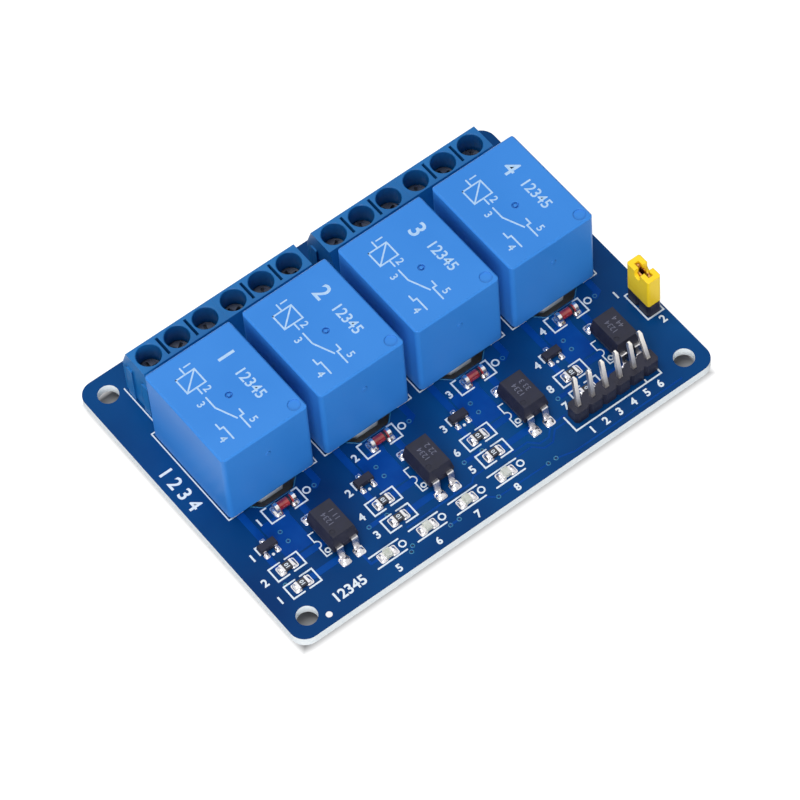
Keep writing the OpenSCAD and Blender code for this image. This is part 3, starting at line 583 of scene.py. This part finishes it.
# %% Dress the CAD nodes
finish_of = {}
for material, stems in (
        (board_mask, "circuit_board"), (solder_metal, "solder_joints"),
        (relay_plastic, "relay_cover relay_base"), (terminal_plastic, "terminal_housing"),
        (plated_steel, "clamp_screw wire_guard"),
        (moulding_compound, "optocoupler transistor_bodies"),
        (tinned_metal, "relay_pins terminal_frames optocoupler_leads transistor_leads"),
        (tinned_metal, "diode_caps resistor_ends led_ends"), (red_glass, "diode_tubes"),
        (chip_glaze, "resistor_chips"), (clear_resin, "led_chips"),
        (black_plastic, "signal_header_base supply_header_base"),
        (pin_metal, "signal_header_pins"), (contact_metal, "supply_header_pins jumper_contact"),
        (yellow_plastic, "jumper_cap")):
    finish_of.update(dict.fromkeys(stems.split(), material))
for node in nodes:
    dress(node, finish_of[node.rstrip("_0123456789")])
print("dressed", len(nodes), "nodes with", len(set(finish_of.values())), "finishes")

# %% [markdown]
# ## Small meshes from formulas
#
# Everything that is added to the board is thin and repeated: strips, rings, plates and beads.
# Each is worked out as whole arrays of points, and shapes that share a finish are joined into
# one mesh.

# %% Mesh helpers
SUNK = 0.02
MITRE_LIMIT = 0.4
END_BEND = 0.92


def shell(rings, start, end):
    """Closed shell: ring k (C points) joins ring k + 1 by quads, and fans close both ends.

    Seen from the start point, each ring runs anticlockwise.
    """
    rings = np.asarray(rings, float)
    count, around, _ = rings.shape
    points = np.concatenate([rings.reshape(-1, 3), [start], [end]])
    k, j = np.meshgrid(np.arange(count - 1), np.arange(around), indexing="ij")
    a, b = (k * around + j).ravel(), (k * around + (j + 1) % around).ravel()
    quads = np.stack([a, a + around, b + around, b], axis=1)
    j = np.arange(around)
    after, base = (j + 1) % around, (count - 1) * around
    first = np.stack([np.full(around, count * around), j, after], axis=1)
    last = np.stack([np.full(around, count * around + 1), base + after, base + j], axis=1)
    return points, quads.tolist() + first.tolist() + last.tolist()


def hoop(x, y, radii, heights, around=40):
    """Closed ring: (radius, height) points turned once about the upright at (x, y)."""
    radii, heights = np.asarray(radii, float), np.asarray(heights, float)
    angle = np.linspace(0, 2 * np.pi, around, endpoint=False)[:, None]
    points = np.stack([x + radii * np.cos(angle), y + radii * np.sin(angle),
                       heights + 0 * angle], axis=-1)
    size = len(radii)
    i, j = np.meshgrid(np.arange(around), np.arange(size), indexing="ij")
    a, b = (i * size + j).ravel(), (i * size + (j + 1) % size).ravel()
    c = (((i + 1) % around) * size + (j + 1) % size).ravel()
    d = (((i + 1) % around) * size + j).ravel()
    return points.reshape(-1, 3), np.stack([a, d, c, b], axis=1).tolist()


def turned(x, y, radii, heights, around=24):
    """Turned bead: rings of the given radii and heights about (x, y), the top one first."""
    angle = np.linspace(0, 2 * np.pi, around, endpoint=False)
    radii, heights = np.asarray(radii, float)[:, None], np.asarray(heights, float)[:, None]
    rings = np.stack([x + radii * np.cos(angle), y + radii * np.sin(angle), heights + 0 * angle],
                     axis=-1)
    return shell(rings, (x, y, heights[0, 0]), (x, y, heights[-1, 0]))


def plate(outline, low, high, edge=0.03):
    """Thin plate with a sloping edge. The outline runs anticlockwise round its own middle."""
    outline = np.asarray(outline, float)
    centre = outline.mean(0)
    away = outline - centre
    length = np.linalg.norm(away, axis=1, keepdims=True)
    inner = centre + away * (1 - edge / length)
    n = len(outline)
    rings = [np.column_stack([line, np.full(n, z)]) for line, z in ((inner, high), (outline, low))]
    return shell(rings, (*centre, high), (*centre, low))


def strip(path, width, low, high, edge=0.02, ends=4):
    """Raised strip with round ends along a path of (x, y) points, mitred at its corners.

    Near an end the half width follows a circle: sqrt(r^2 - d^2), d before the end's centre.
    """
    path = np.asarray(path, float)
    along = np.diff(path, axis=0)
    along /= np.linalg.norm(along, axis=1, keepdims=True)
    ahead = np.vstack([along, along[-1:]])
    behind = np.vstack([along[:1], along])
    both = ahead + behind
    both /= np.linalg.norm(both, axis=1, keepdims=True)
    side = np.column_stack([-both[:, 1], both[:, 0]])
    stretch = 1 / np.maximum((both * ahead).sum(1), MITRE_LIMIT)
    half = width / 2
    bend = np.linspace(np.pi / 2 * END_BEND, 0, ends, endpoint=False)
    far, near = half * np.sin(bend), half * np.cos(bend)
    centres = np.vstack([path[0] - far[:, None] * along[0], path,
                         path[-1] + far[::-1, None] * along[-1]])
    sides = np.vstack([np.repeat(side[:1], ends, 0), side, np.repeat(side[-1:], ends, 0)])
    halves = np.concatenate([near, half * stretch, near[::-1]])[:, None]
    slim = np.maximum(halves - edge, halves * 0.2)
    n = len(centres)

    def row(offset, level):
        return np.column_stack([centres + offset * sides, np.full(n, level)])

    section = (row(-halves, low), row(-slim, high), row(slim, high), row(halves, low))
    rings = np.stack(section, axis=1)
    start = (*(path[0] - half * along[0]), (low + high) / 2)
    end = (*(path[-1] + half * along[-1]), (low + high) / 2)
    return shell(rings, start, end)


def rounded_rectangle(square, around=28):
    """Unit outline |x|^s + |y|^s = 1 as two arrays; a larger s gives squarer corners."""
    angle = np.linspace(0, 2 * np.pi, around, endpoint=False)
    c, s = np.cos(angle), np.sin(angle)
    reach = (np.abs(c) ** square + np.abs(s) ** square) ** (-1 / square)
    return reach * c, reach * s


def bead(x, y, half_x, half_y, low, height, square):
    """Solder bead over a rounded rectangle: height x (1 - r^2.2), r from the middle to the rim."""
    across, along = rounded_rectangle(square)
    around = len(across)
    part = np.array([0.22, 0.45, 0.62, 0.78, 0.9, 0.97, 1.0])
    level = low + height * (1 - part ** 2.2)
    rings = np.stack([x + half_x * np.outer(part, across), y + half_y * np.outer(part, along),
                      np.repeat(level[:, None], around, 1)], axis=-1)
    under = rings[-1:].copy()
    under[..., 2] = low - SUNK
    rings = np.concatenate([rings, under])
    return shell(rings, (x, y, low + height), (x, y, low - SUNK))


def make_piece(name, shapes, material, body=ROOT, smooth=True, stands_for=()):
    """Joins shapes (points in millimetres, faces) into one object that rides on a body."""
    points, faces, start = [], [], 0
    for shape_points, shape_faces in shapes:
        points.append(np.asarray(shape_points, float) * MM)
        faces += [[index + start for index in face] for face in shape_faces]
        start += len(shape_points)
    mesh = bpy.data.meshes.new(name)
    mesh.from_pydata(np.concatenate(points).tolist(), [], faces)
    mesh.polygons.foreach_set("use_smooth", np.full(len(mesh.polygons), smooth))
    mesh.materials.append(material)
    mesh.update()
    piece = bpy.data.objects.new(name, mesh)
    scene.collection.objects.link(piece)
    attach(piece, body)
    if stands_for:
        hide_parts(*stands_for)
    print(name, len(shapes), "shapes,", len(mesh.polygons), "faces")


# %% [markdown]
# ## Printed figures
#
# A figure on a board or a relay is a thin film of ink. Blender's text object gives its outline,
# which becomes a mesh at once. Only plain numbers are printed here.

# %% Printed figures
FLAT = 0.0
DOWN_THE_BOARD, UP_THE_BOARD = -math.pi / 2, math.pi / 2
CAP_SHARE = 0.7


def figures(words, x, y, height, level, turn, thick, bold=0.0):
    """Text as a thin slab, its middle at (x, y) and its underside at the level, in millimetres."""
    curve = bpy.data.curves.new("figures", "FONT")
    curve.body = words
    curve.size = height / CAP_SHARE
    curve.align_x = "CENTER"
    curve.align_y = "CENTER"
    curve.extrude = thick / 2
    curve.offset = bold
    curve.resolution_u = 3
    holder = bpy.data.objects.new("figures", curve)
    mesh = bpy.data.meshes.new_from_object(holder)
    flat = np.zeros(len(mesh.vertices) * 3)
    mesh.vertices.foreach_get("co", flat)
    flat = flat.reshape(-1, 3)
    middle = (flat.min(0) + flat.max(0)) / 2
    local = flat - middle
    c, s = math.cos(turn), math.sin(turn)
    points = np.column_stack([x + c * local[:, 0] - s * local[:, 1],
                              y + s * local[:, 0] + c * local[:, 1],
                              level + thick / 2 + local[:, 2]])
    faces = [list(polygon.vertices) for polygon in mesh.polygons]
    bpy.data.objects.remove(holder)
    bpy.data.curves.remove(curve)
    bpy.data.meshes.remove(mesh)
    return points, faces


print("figures stand", CAP_SHARE, "of their font size high")

# %% [markdown]
# ## Copper under the mask
#
# Tracks and copper areas stand about a thirtieth of a millimetre proud under the mask. Each
# channel has the same set, so it is written once and moved along to the next relay.

# %% Tracks on top
COPPER, LOW_COPPER = 0.03, 0.027
SIGNAL = 0.28
tracks = []
thin_tracks = []


def step(shapes, size=0.0012, turns=9):
    """Tiny height step for the next shape of a list, so that overlapping tops never coincide."""
    return size * (len(shapes) % turns)


def area(*corners):
    """Copper area with the given corners, listed anticlockwise."""
    tracks.append(plate(corners, TOP, TOP + COPPER + step(tracks)))


def track(*path, width=1.05, lift=COPPER):
    """Copper track through the given points."""
    tracks.append(strip(path, width, TOP, TOP + lift + step(tracks)))


def tracks_of(x):
    """Copper of one channel whose relay's middle is at x."""
    # coil track from the relay down to the transistor's back lead
    track((x - 5.95, -3.4), (x - 5.95, -9.9), width=1.15)
    # diode's far end: up to the relay, and down to the optocoupler
    track((x + 5.2, -7.4), (x + 5.95, -6.9), (x + 5.95, -3.4), width=1.1)
    track((x + 1.75, -8.2), (x + 1.75, -11.4), width=1.1)
    # ground area between diode, transistor and optocoupler
    area((x - 5.1, -14.9), (x - 0.4, -14.9), (x - 0.4, -9.0), (x - 1.6, -8.0), (x - 4.6, -8.0),
         (x - 5.1, -8.5))
    track((x - 1.3, -8.4), (x - 1.3, -7.2), width=2.2, lift=LOW_COPPER)
    # transistor to its resistor, and both resistors to the optocoupler
    track((x - 7.1, -12.6), (x - 7.1, -14.9), width=1.0)
    track((x - 4.4, -15.75), (x + 0.6, -15.75), width=1.1)
    track((x - 4.4, -19.3), (x + 0.9, -19.3), (x + 1.0, -19.9), width=1.1)


for x in channel_x:
    tracks_of(x)
for x in channel_x[1:]:
    track((x - 10.1, -17.9), (x - 7.3, -17.9), width=0.75, lift=LOW_COPPER)
make_piece("tracks_top", tracks, copper_mask, smooth=False)

# %% [markdown]
# The thin signal tracks run round the light-emitting chips to the signal header, with corners of
# 45 degrees.

# %% Signal tracks
header_low, header_high = box_mm("signal_header_base")
led_mid = [(low + high) / 2 for low, high in loose_boxes("led_chips")]


def thin(*path, width=SIGNAL):
    """Thin signal track through the given points."""
    thin_tracks.append(strip(path, width, TOP, TOP + COPPER * 0.8 + step(thin_tracks)))


# from each optocoupler's front lead to the near end of its light-emitting chip
led_x = [mid[0] for mid in led_mid]
thin((channel_x[0] + 3.52, -20.3), (channel_x[0] + 3.52, -22.9), (led_x[0] - 1.6, -22.9),
     width=0.4)
thin((channel_x[1] + 3.4, -20.3), (channel_x[1] + 2.5, -21.3), (led_x[1] - 2.2, -21.3))
thin((led_x[2] - 1.9, -21.3), (led_x[2] + 2.4, -21.3), (led_x[2] + 3.1, -20.6), (-0.2, -20.6))
# two runs that step towards the signal header
for drop in (0.0, 1.0):
    thin((4.9, -20.9 - drop), (7.6, -20.9 - drop), (8.9, -22.2 - drop), (10.5, -22.2 - drop),
         (12.0, -20.7 - drop), (14.6, -20.7 - drop))
# links between the vias below the chips, and the run along the front edge
thin((-15.6, -24.2), (-16.3, -24.9))
thin((-9.36, -24.9), (-7.8, -24.9), width=0.4)
thin((led_x[2] + 2.3, -24.3), (-1.2, -25.5), (7.7, -25.6))
thin((9.1, -25.6), (12.0, -26.4), (31.5, -26.4))
make_piece("tracks_thin", thin_tracks, copper_mask, smooth=False)

# %% [markdown]
# ## Rings round the vias, slots and holes
#
# A via is a plated hole, shown as a dark disc of painted shade for its shaded inside, in a paler
# ring. A pale line runs along each slot between mains and low voltage.

# %% Vias
VIA_RING, VIA_HOLE = 0.4, 0.19
vias = []
for x in channel_x:
    vias += [(x - 3.25, -10.55), (x - 3.25, -12.45), (x + 5.15, -7.35)]
for x in channel_x[1:]:
    vias += [(x - 10.1, -17.9), (x - 6.9, -17.9)]
vias += [(channel_x[0] - 7.85, -18.0), (-15.6, -24.2), (-16.3, -24.9), (-9.36, -24.9),
         (-7.8, -24.9), (-1.2, -25.5), (7.7, -25.6), (9.1, -25.6)]


def via_ring(x, y):
    """Raised ring of one via on the top face."""
    radii = [VIA_HOLE, VIA_HOLE + 0.04, VIA_RING - 0.04, VIA_RING]
    return hoop(x, y, radii, [TOP, TOP + 0.045, TOP + 0.045, TOP], 20)


def via_shade_disc(x, y):
    """Dark disc of painted shade in the middle of one via on the top face, where its hole is."""
    return turned(x, y, [0.1, VIA_HOLE + 0.02], [TOP + 0.036, TOP - 0.01], 16)


rings = [via_ring(x, y) for x, y in vias]
for x in channel_x:
    slot_line = [(x - 5.9, -2.6), (x - 2.55, -5.92), (x + 2.55, -5.92), (x + 5.9, -2.6)]
    rings.append(strip(slot_line, 0.16, TOP, TOP + 0.02, ends=3))
make_piece("via_rings", rings, ring_mask)
# painted shade: the dark discs stand for the shaded inside of the open via holes
make_piece("via_holes", [via_shade_disc(x, y) for x, y in vias], painted_hole_shade)

# %% [markdown]
# ## White print on the board
#
# The outlines of the parts, their numbers and the marks for the first pin are printed in white
# ink, in lines about a quarter of a millimetre wide.

# %% Lines and marks
INK, INK_EDGE = 0.05, 0.012
LINE, FINE_LINE = 0.25, 0.2
lines = []


def line(*path, width=LINE):
    """Adds one printed line through the given (x, y) points."""
    lines.append(strip(path, width, TOP, TOP + INK + step(lines), edge=INK_EDGE, ends=3))


def ring_mark(x, y, radius):
    """Adds one printed circle."""
    radii = [radius - LINE / 2, radius - LINE / 4, radius + LINE / 4, radius + LINE / 2]
    lines.append(hoop(x, y, radii, [TOP, TOP + INK, TOP + INK, TOP], 28))


def lines_of(x):
    """Printed lines of one channel whose relay's middle is at x."""
    line((x - 7.72, -4.4), (x - 7.72, 14.36), (x + 7.83, 14.36), (x + 7.83, -4.4),
         width=FINE_LINE)
    line((x - 7.72, -4.4), (x - 5.3, -4.4), width=FINE_LINE)
    line((x + 7.83, -4.4), (x + 5.3, -4.4), width=FINE_LINE)
    # diode bracket, and the ring at its marked end
    line((x - 2.5, -6.05), (x - 3.32, -6.05), (x - 3.32, -8.75), (x - 1.15, -8.75))
    line((x + 2.05, -6.05), (x + 2.95, -6.05), (x + 2.95, -8.75), (x + 0.8, -8.75))
    ring_mark(x + 3.85, -7.3, 0.52)
    # transistor corner and dot
    line((x - 6.95, -10.5), (x - 7.72, -10.5), (x - 7.72, -11.85))
    lines.append(turned(x - 6.15, -12.87, [0.2, 0.24], [TOP + INK, TOP], 18))
    # resistor brackets, open in the middle of both long sides
    for y in (-15.8, -19.4):
        for half, near in ((-8.33, -6.4), (-3.45, -5.5)):
            line((x + near, y + 1.25), (x + half, y + 1.25), (x + half, y - 1.2),
                 (x + near, y - 1.2))
    # optocoupler outline with its half round notch, and the ring at its first lead
    notch = [(x - 0.55 + 0.62 * math.sin(a), -15.6 + 0.62 * math.cos(a))
             for a in np.linspace(0.35, math.pi - 0.35, 9)]
    line((x + 0.3, -13.5), (x - 0.55, -13.5), (x - 0.55, -15.0), *notch, (x - 0.55, -16.2),
         (x - 0.55, -17.95), (x + 0.3, -17.95), width=FINE_LINE)
    ring_mark(x + 0.2, -17.2, 0.36)


for x in channel_x:
    lines_of(x)
for m in led_mid:
    line((m[0] - 2.5, m[1] + 1.17), (m[0] + 2.6, m[1] + 1.17))
    line((m[0] - 2.5, m[1] - 1.07), (m[0] + 2.6, m[1] - 1.07))
    ring_mark(m[0] + 2.65, m[1] + 0.12, 0.5)
header_x0, header_x1 = header_low[0] - 0.7, header_high[0] - 0.35
line((header_x0, -21.0), (header_x0, -23.85), (header_x1, -23.85), (header_x1, -23.0))
line((header_x1 - 2.6, -23.85), (header_x1 - 2.6, -23.3))
line((34.2, -10.1), (34.2, -15.5), (37.1, -15.5), (37.1, -14.6))
line((34.2, -10.1), (34.7, -10.1))
line((-31.65, 23.2), (-31.65, 15.5), width=FINE_LINE)
line((-1.1, 23.2), (-1.1, 15.5), width=FINE_LINE)
print(len(lines), "printed lines, light-emitting chips at x", np.round(led_x, 2).tolist())

# %% Numbers on the board
BOLD = 0.05
SMALL, SMALLER = 1.25, 1.2
FIRST_LED_NUMBER = 5
marks = []


def board_number(words, x, y, height=SMALL, turn=FLAT):
    """Number in the board's white ink on the top face, its middle at (x, y)."""
    return figures(words, x, y, height, TOP, turn, INK, BOLD)


for n, x in enumerate(channel_x, 1):
    for number, dx, y in ((n, -4.65, -7.45), (n, -8.9, -11.6), (2 * n, -9.95, -15.95),
                          (2 * n - 1, -9.95, -19.6)):
        marks.append(board_number(f"{number}", x + dx, y))
for n, m in enumerate(led_mid, FIRST_LED_NUMBER):
    marks.append(board_number(f"{n}", m[0] - 0.1, m[1] - 2.75, SMALLER))
for n, (low, high) in enumerate(loose_boxes("signal_header_pins"), 1):
    marks.append(board_number(f"{n}", (low[0] + high[0]) / 2, -25.15))
marks.append(board_number("12345", -26.6, -24.15, 1.6))
marks.append(board_number("1 2 3 4", -35.45, 4.0, 2.1, DOWN_THE_BOARD))
marks.append(board_number("1", 33.3, -9.2))
marks.append(board_number("2", 36.0, -16.7))
make_piece("board_print", lines + marks, print_white, smooth=False)

# %% [markdown]
# ## Solder on the small parts
#
# Molten solder climbs the metal end of a part and sets as a smooth bead on its pad. Every bead is
# one formula: a rounded rectangle in plan that rises towards its middle. The places come from
# the boxes of the metal ends.

# %% Pads and solder on top
PAD, PAD_SQUARE = 0.04, 6
SPOT_X, SPOT_Y, SPOT_RADIUS = -31.46, -25.7, 0.5
solder = []
pads = []


def pad_under(x, y, half_x, half_y):
    """Bare tinned pad, a hair thicker than the mask beside it."""
    across, along = rounded_rectangle(PAD_SQUARE)
    outline = np.column_stack([x + half_x * across, y + half_y * along])
    pads.append(plate(outline, TOP, TOP + PAD))


def solder_at(x, y, half_x, half_y, height, square):
    """Solder bead that starts on the copper's level."""
    solder.append(bead(x, y, half_x, half_y, TOP + COPPER, height, square))


def outwards(mid, bodies, axis):
    """1 or -1: the side along an axis on which a lead stands from the nearest body's middle."""
    middles = bodies.mean(axis=1)
    own = middles[np.argmin(np.linalg.norm(middles - mid, axis=1))]
    return np.sign(mid[axis] - own[axis])


for node, body_node, height in (("resistor_ends", "resistor_chips", 0.42),
                                ("led_ends", "led_chips", 0.4)):
    bodies = loose_boxes(body_node)
    for low, high in loose_boxes(node):
        mid = (low + high) / 2
        out = outwards(mid, bodies, 0)
        half_y = (high[1] - low[1]) / 2 + 0.1
        edge_x = high[0] if out > 0 else low[0]
        pad_under(edge_x, mid[1], 0.62, half_y + 0.1)
        solder_at(edge_x - 0.02 * out, mid[1], 0.5, half_y, height, square=4)

for low, high in loose_boxes("diode_caps"):
    mid, half = (low + high) / 2, (high - low) / 2
    pad_under(mid[0], mid[1], half[0] + 0.4, half[1] + 0.25)
    solder_at(mid[0], mid[1], half[0] + 0.34, half[1] + 0.16, 0.5, square=3.4)

for node, body_nodes, back_by, pad, wet, height, square in (
        ("optocoupler_leads", [f"optocoupler_{n}" for n in range(1, 5)], 0.25, (0.82, 0.8),
         (0.74, 0.68), 0.42, 2.2),
        ("transistor_leads", ["transistor_bodies"], 0.12, (0.42, 0.5), (0.34, 0.44), 0.26, 3)):
    bodies = np.concatenate([loose_boxes(name) for name in body_nodes])
    for low, high in loose_boxes(node):
        mid = (low + high) / 2
        out = outwards(mid, bodies, 1)
        foot_y = (high[1] if out > 0 else low[1]) - back_by * out
        pad_under(mid[0], foot_y, *pad)
        solder_at(mid[0], foot_y, *wet, height, square=square)

angle = np.linspace(0, 2 * np.pi, 24, endpoint=False)
spot = np.column_stack([SPOT_X + SPOT_RADIUS * np.cos(angle), SPOT_Y + SPOT_RADIUS * np.sin(angle)])
pads.append(plate(spot, TOP, TOP + 0.02))
make_piece("solder_pads_top", pads, tinned_metal, smooth=False)
make_piece("solder_beads_top", solder, solder_metal)

# %% [markdown]
# ## Print on the relays
#
# Relay covers carry a pale print: the channel's number and the circuit symbol of a changeover
# relay, a coil with a lever between two contacts. It reads from the terminals towards the front,
# so a helper turns reading coordinates into board coordinates.

# %% Relay print
FILM = 0.03


def on_relay(centre, u, v):
    """Reading coordinates (u along the print, v up) on a relay top: x = cx + v, y = cy - u."""
    return centre[0] + v, centre[1] - u


def relay_lines(centre):
    """Coil, lever and contacts of a changeover relay as strips."""
    paths = [
        [(-5.9, -4.4), (-5.9, -1.2), (-3.1, -1.2), (-3.1, -4.4), (-5.9, -4.4)],
        [(-7.2, -2.8), (-5.9, -2.8)], [(-3.1, -2.8), (-1.8, -2.8)],
        [(-3.1, -4.4), (-5.9, -1.2)],
        [(-0.9, -2.8), (1.3, -2.8), (4.6, -1.4)],
        [(3.6, -4.4), (4.6, -4.4), (4.6, -3.8), (7.0, -3.8)],
        [(3.6, -0.3), (4.6, -0.3), (4.6, -0.9), (7.0, -0.9)],
    ]
    made = []
    for path in paths:
        here = [on_relay(centre, u, v) for u, v in path]
        made.append(strip(here, 0.26, relay_top, relay_top + FILM + step(made), edge=INK_EDGE,
                          ends=3))
    return made


for n, centre in enumerate(relays, 1):
    shapes = relay_lines(centre)
    for label, u, v, high, bold in (
            (f"{n}", -4.8, 3.6, 2.7, 0.05), ("12345", 1.2, 3.6, 1.7, 0.03),
            ("1", -7.0, -1.7, 1.2, 0.03), ("2", -2.0, -1.7, 1.2, 0.03),
            ("3", -0.4, -4.0, 1.2, 0.03), ("4", 6.2, -5.0, 1.2, 0.03), ("5", 6.2, 0.3, 1.2, 0.03)):
        shapes.append(figures(label, *on_relay(centre, u, v), high, relay_top, DOWN_THE_BOARD,
                              FILM, bold))
    make_piece(f"relay_print_{n}", shapes, relay_print, smooth=False)

# %% [markdown]
# ## Marks on the small parts
#
# Chip resistors carry their value as plain figures, optocouplers two faint lines of print, and a
# diode the dark band that shows which way it conducts. The band is a turned ring laid along the
# diode, so its upright becomes the diode's own axis.

# %% Marks on the small parts
CHIP_FILM = 0.01
BAND_HALF, BAND_RISE, BAND_FROM_END = 0.22, 0.012, 0.45
chip_marks = []
for low, high in loose_boxes("resistor_chips"):
    mid = (low + high) / 2
    chip_marks.append(figures("10", mid[0], mid[1], 0.62, high[2], UP_THE_BOARD, CHIP_FILM, 0.02))
make_piece("resistor_marks", chip_marks, print_white, smooth=False)

faint_print = finish("faint_print", (96, 98, 116), (76, 78, 96), (0.5, 0.64), drift=(1500, 0.6))
opto_marks = []
for n in range(1, 5):
    low, high = box_mm(f"optocoupler_{n}")
    mid = (low + high) / 2
    for words, dx in (("1234", -0.55), (f"{n}{n} {n}", 0.75)):
        opto_marks.append(figures(words, mid[0] + dx, mid[1] + 0.3, 0.85, high[2], UP_THE_BOARD,
                                  CHIP_FILM))
make_piece("optocoupler_marks", opto_marks, faint_print, smooth=False)

bands = []
for low, high in loose_boxes("diode_tubes"):
    mid = (low + high) / 2
    radius = (high[2] - low[2]) / 2
    inner, outer = radius - SUNK, radius + BAND_RISE
    upright, faces = hoop(0, 0, [inner, outer, outer, inner],
                          [-BAND_HALF, SUNK - BAND_HALF, BAND_HALF - SUNK, BAND_HALF], 28)
    laid = np.stack([upright[:, 2] + high[0] - BAND_FROM_END, upright[:, 0] + mid[1],
                     upright[:, 1] + mid[2]], axis=1)
    bands.append((laid, faces))
make_piece("diode_bands", bands, black_plastic)

# %% [markdown]
# ## Solder joints underneath
#
# Below the board every lead ends in a small cone of solder: hollow where it wets the pad and
# rounded over the cut lead. A turned profile gives that curve, and its height and width follow
# the CAD cones. With t running from 0 at the tip to 1 at the pad, the reach is
# r (0.34 sqrt(min(5 t, 1)) + 0.66 t^2.2).

# %% Solder cones underneath
TIP_SHARE, TIP_BEND, FOOT_POWER = 0.34, 5, 2.2
joints = loose_boxes("solder_joints")
cones = []
for low, high in joints:
    mid = (low + high) / 2
    radius, tall = (high[0] - low[0]) / 2, high[2] - low[2]
    part = np.linspace(1, 0.02, 12)
    tip = np.sqrt(np.clip(part * TIP_BEND, 0, 1))
    reach = radius * (TIP_SHARE * tip + (1 - TIP_SHARE) * part ** FOOT_POWER)
    cones.append(turned(mid[0], mid[1], reach, low[2] + tall * part, 24))
make_piece("solder_cones", cones, solder_metal, stands_for=("solder_joints",))

# %% [markdown]
# ## The underside
#
# The back of such a board carries wide mains tracks from each relay's contacts to its three
# terminals, a ring of bare tin round every joint, the other ends of the vias, and a common
# track along the front edge. Each shape is made as for the top and turned half round the X axis.

# %% Tracks and rings underneath
PAD_OVERLAP, PAD_WIDTH, PAD_RISE = 0.1, 0.42, 0.05
MAINS_WIDE, MAINS, COMMON, COIL_FEED, INPUT = 3.0, 2.6, 1.2, 0.9, 0.4
SAME_ROW = 0.5
FRONT_Y = -24.6


def turned_over(shape):
    """Shape moved to the underside: half a turn about the X axis at the board's mid height."""
    points, faces = shape
    return np.asarray(points, float) * (1, -1, -1) + (0, 0, TOP + UNDER), faces


def below(*path, width):
    """Adds a track on the underside through true (x, y) points."""
    flipped = [(x, -y) for x, y in path]
    tracks_below.append(turned_over(strip(flipped, width, TOP, TOP + COPPER + step(tracks_below))))


joint_mid = joints.mean(axis=1)
terminal_row = joint_mid[:, 1].max()
ways = np.sort(joint_mid[joint_mid[:, 1] > terminal_row - SAME_ROW, 0])
near_first = joint_mid[np.abs(joint_mid[:, 0] - channel_x[0]) < 8.0]
relay_rows = np.sort(near_first[near_first[:, 1] < terminal_row - SAME_ROW, 1])
common_y, back_y = relay_rows[0], relay_rows[-1]
half_span = np.ptp(near_first[np.abs(near_first[:, 1] - back_y) < SAME_ROW, 0]) / 2
turn_y = (back_y + terminal_row) / 2
tracks_below = []
for k, x in enumerate(channel_x):
    left, centre, right = ways[3 * k:3 * k + 3]
    below((x, common_y), (x, turn_y - 1.2), (centre, turn_y), (centre, terminal_row),
          width=MAINS_WIDE)
    for pin, way in ((x - half_span, left), (x + half_span, right)):
        below((pin, back_y), (pin, turn_y - 0.9), (way, turn_y + 1.2), (way, terminal_row),
              width=MAINS)
    below((x - 3.25, -10.55), (x - 3.25, FRONT_Y + COMMON / 2), width=COIL_FEED)
below((channel_x[0] - 3.25, FRONT_Y), (header_low[0] + 1.27, FRONT_Y),
      (header_low[0] + 1.27, -22.2), width=COMMON)
pin_x = np.sort(joint_mid[np.abs(joint_mid[:, 1] - header_low[1] - 1.25) < SAME_ROW, 0])
for k, x in enumerate(channel_x[:3]):
    row, pin = -19.6 + 0.9 * k, pin_x[k + 1]
    below((x + 6.2, -16.4), (x + 7.0, row), (pin - 0.6, row), (pin, row - 0.6), (pin, -21.6),
          width=INPUT)
make_piece("tracks_underneath", tracks_below, copper_mask, smooth=False)

pad_rings = []
for mid, (low, high) in zip(joint_mid, joints):
    inner = (high[0] - low[0]) / 2 - PAD_OVERLAP
    outer = inner + PAD_WIDTH
    pad_rings.append(turned_over(hoop(mid[0], -mid[1], [inner, inner + 0.03, outer - 0.03, outer],
                                      [TOP, TOP + PAD_RISE, TOP + PAD_RISE, TOP], 28)))
make_piece("pads_underneath", pad_rings, tinned_metal)
make_piece("via_rings_underneath", [turned_over(via_ring(x, -y)) for x, y in vias],
           ring_mask)
# painted shade: dark discs for the shaded inside of the via holes on the underside
make_piece("via_holes_underneath", [turned_over(via_shade_disc(x, -y)) for x, y in vias],
           painted_hole_shade)

# %% Print underneath
print_below = []
for k, x in enumerate(channel_x):
    for mark, at in zip("123", ways[3 * k:3 * k + 3]):
        print_below.append(turned_over(board_number(mark, at, -(terminal_row + 4.4), 1.4)))
    number_y = -(common_y + back_y) / 2
    print_below.append(turned_over(board_number(f"{k + 1}", x + 4.4, number_y, 2.4)))
for n, x in enumerate(pin_x, 1):
    print_below.append(turned_over(board_number(f"{n}", x, 25.2, SMALLER)))
make_piece("board_print_underneath", print_below, print_white, smooth=False)
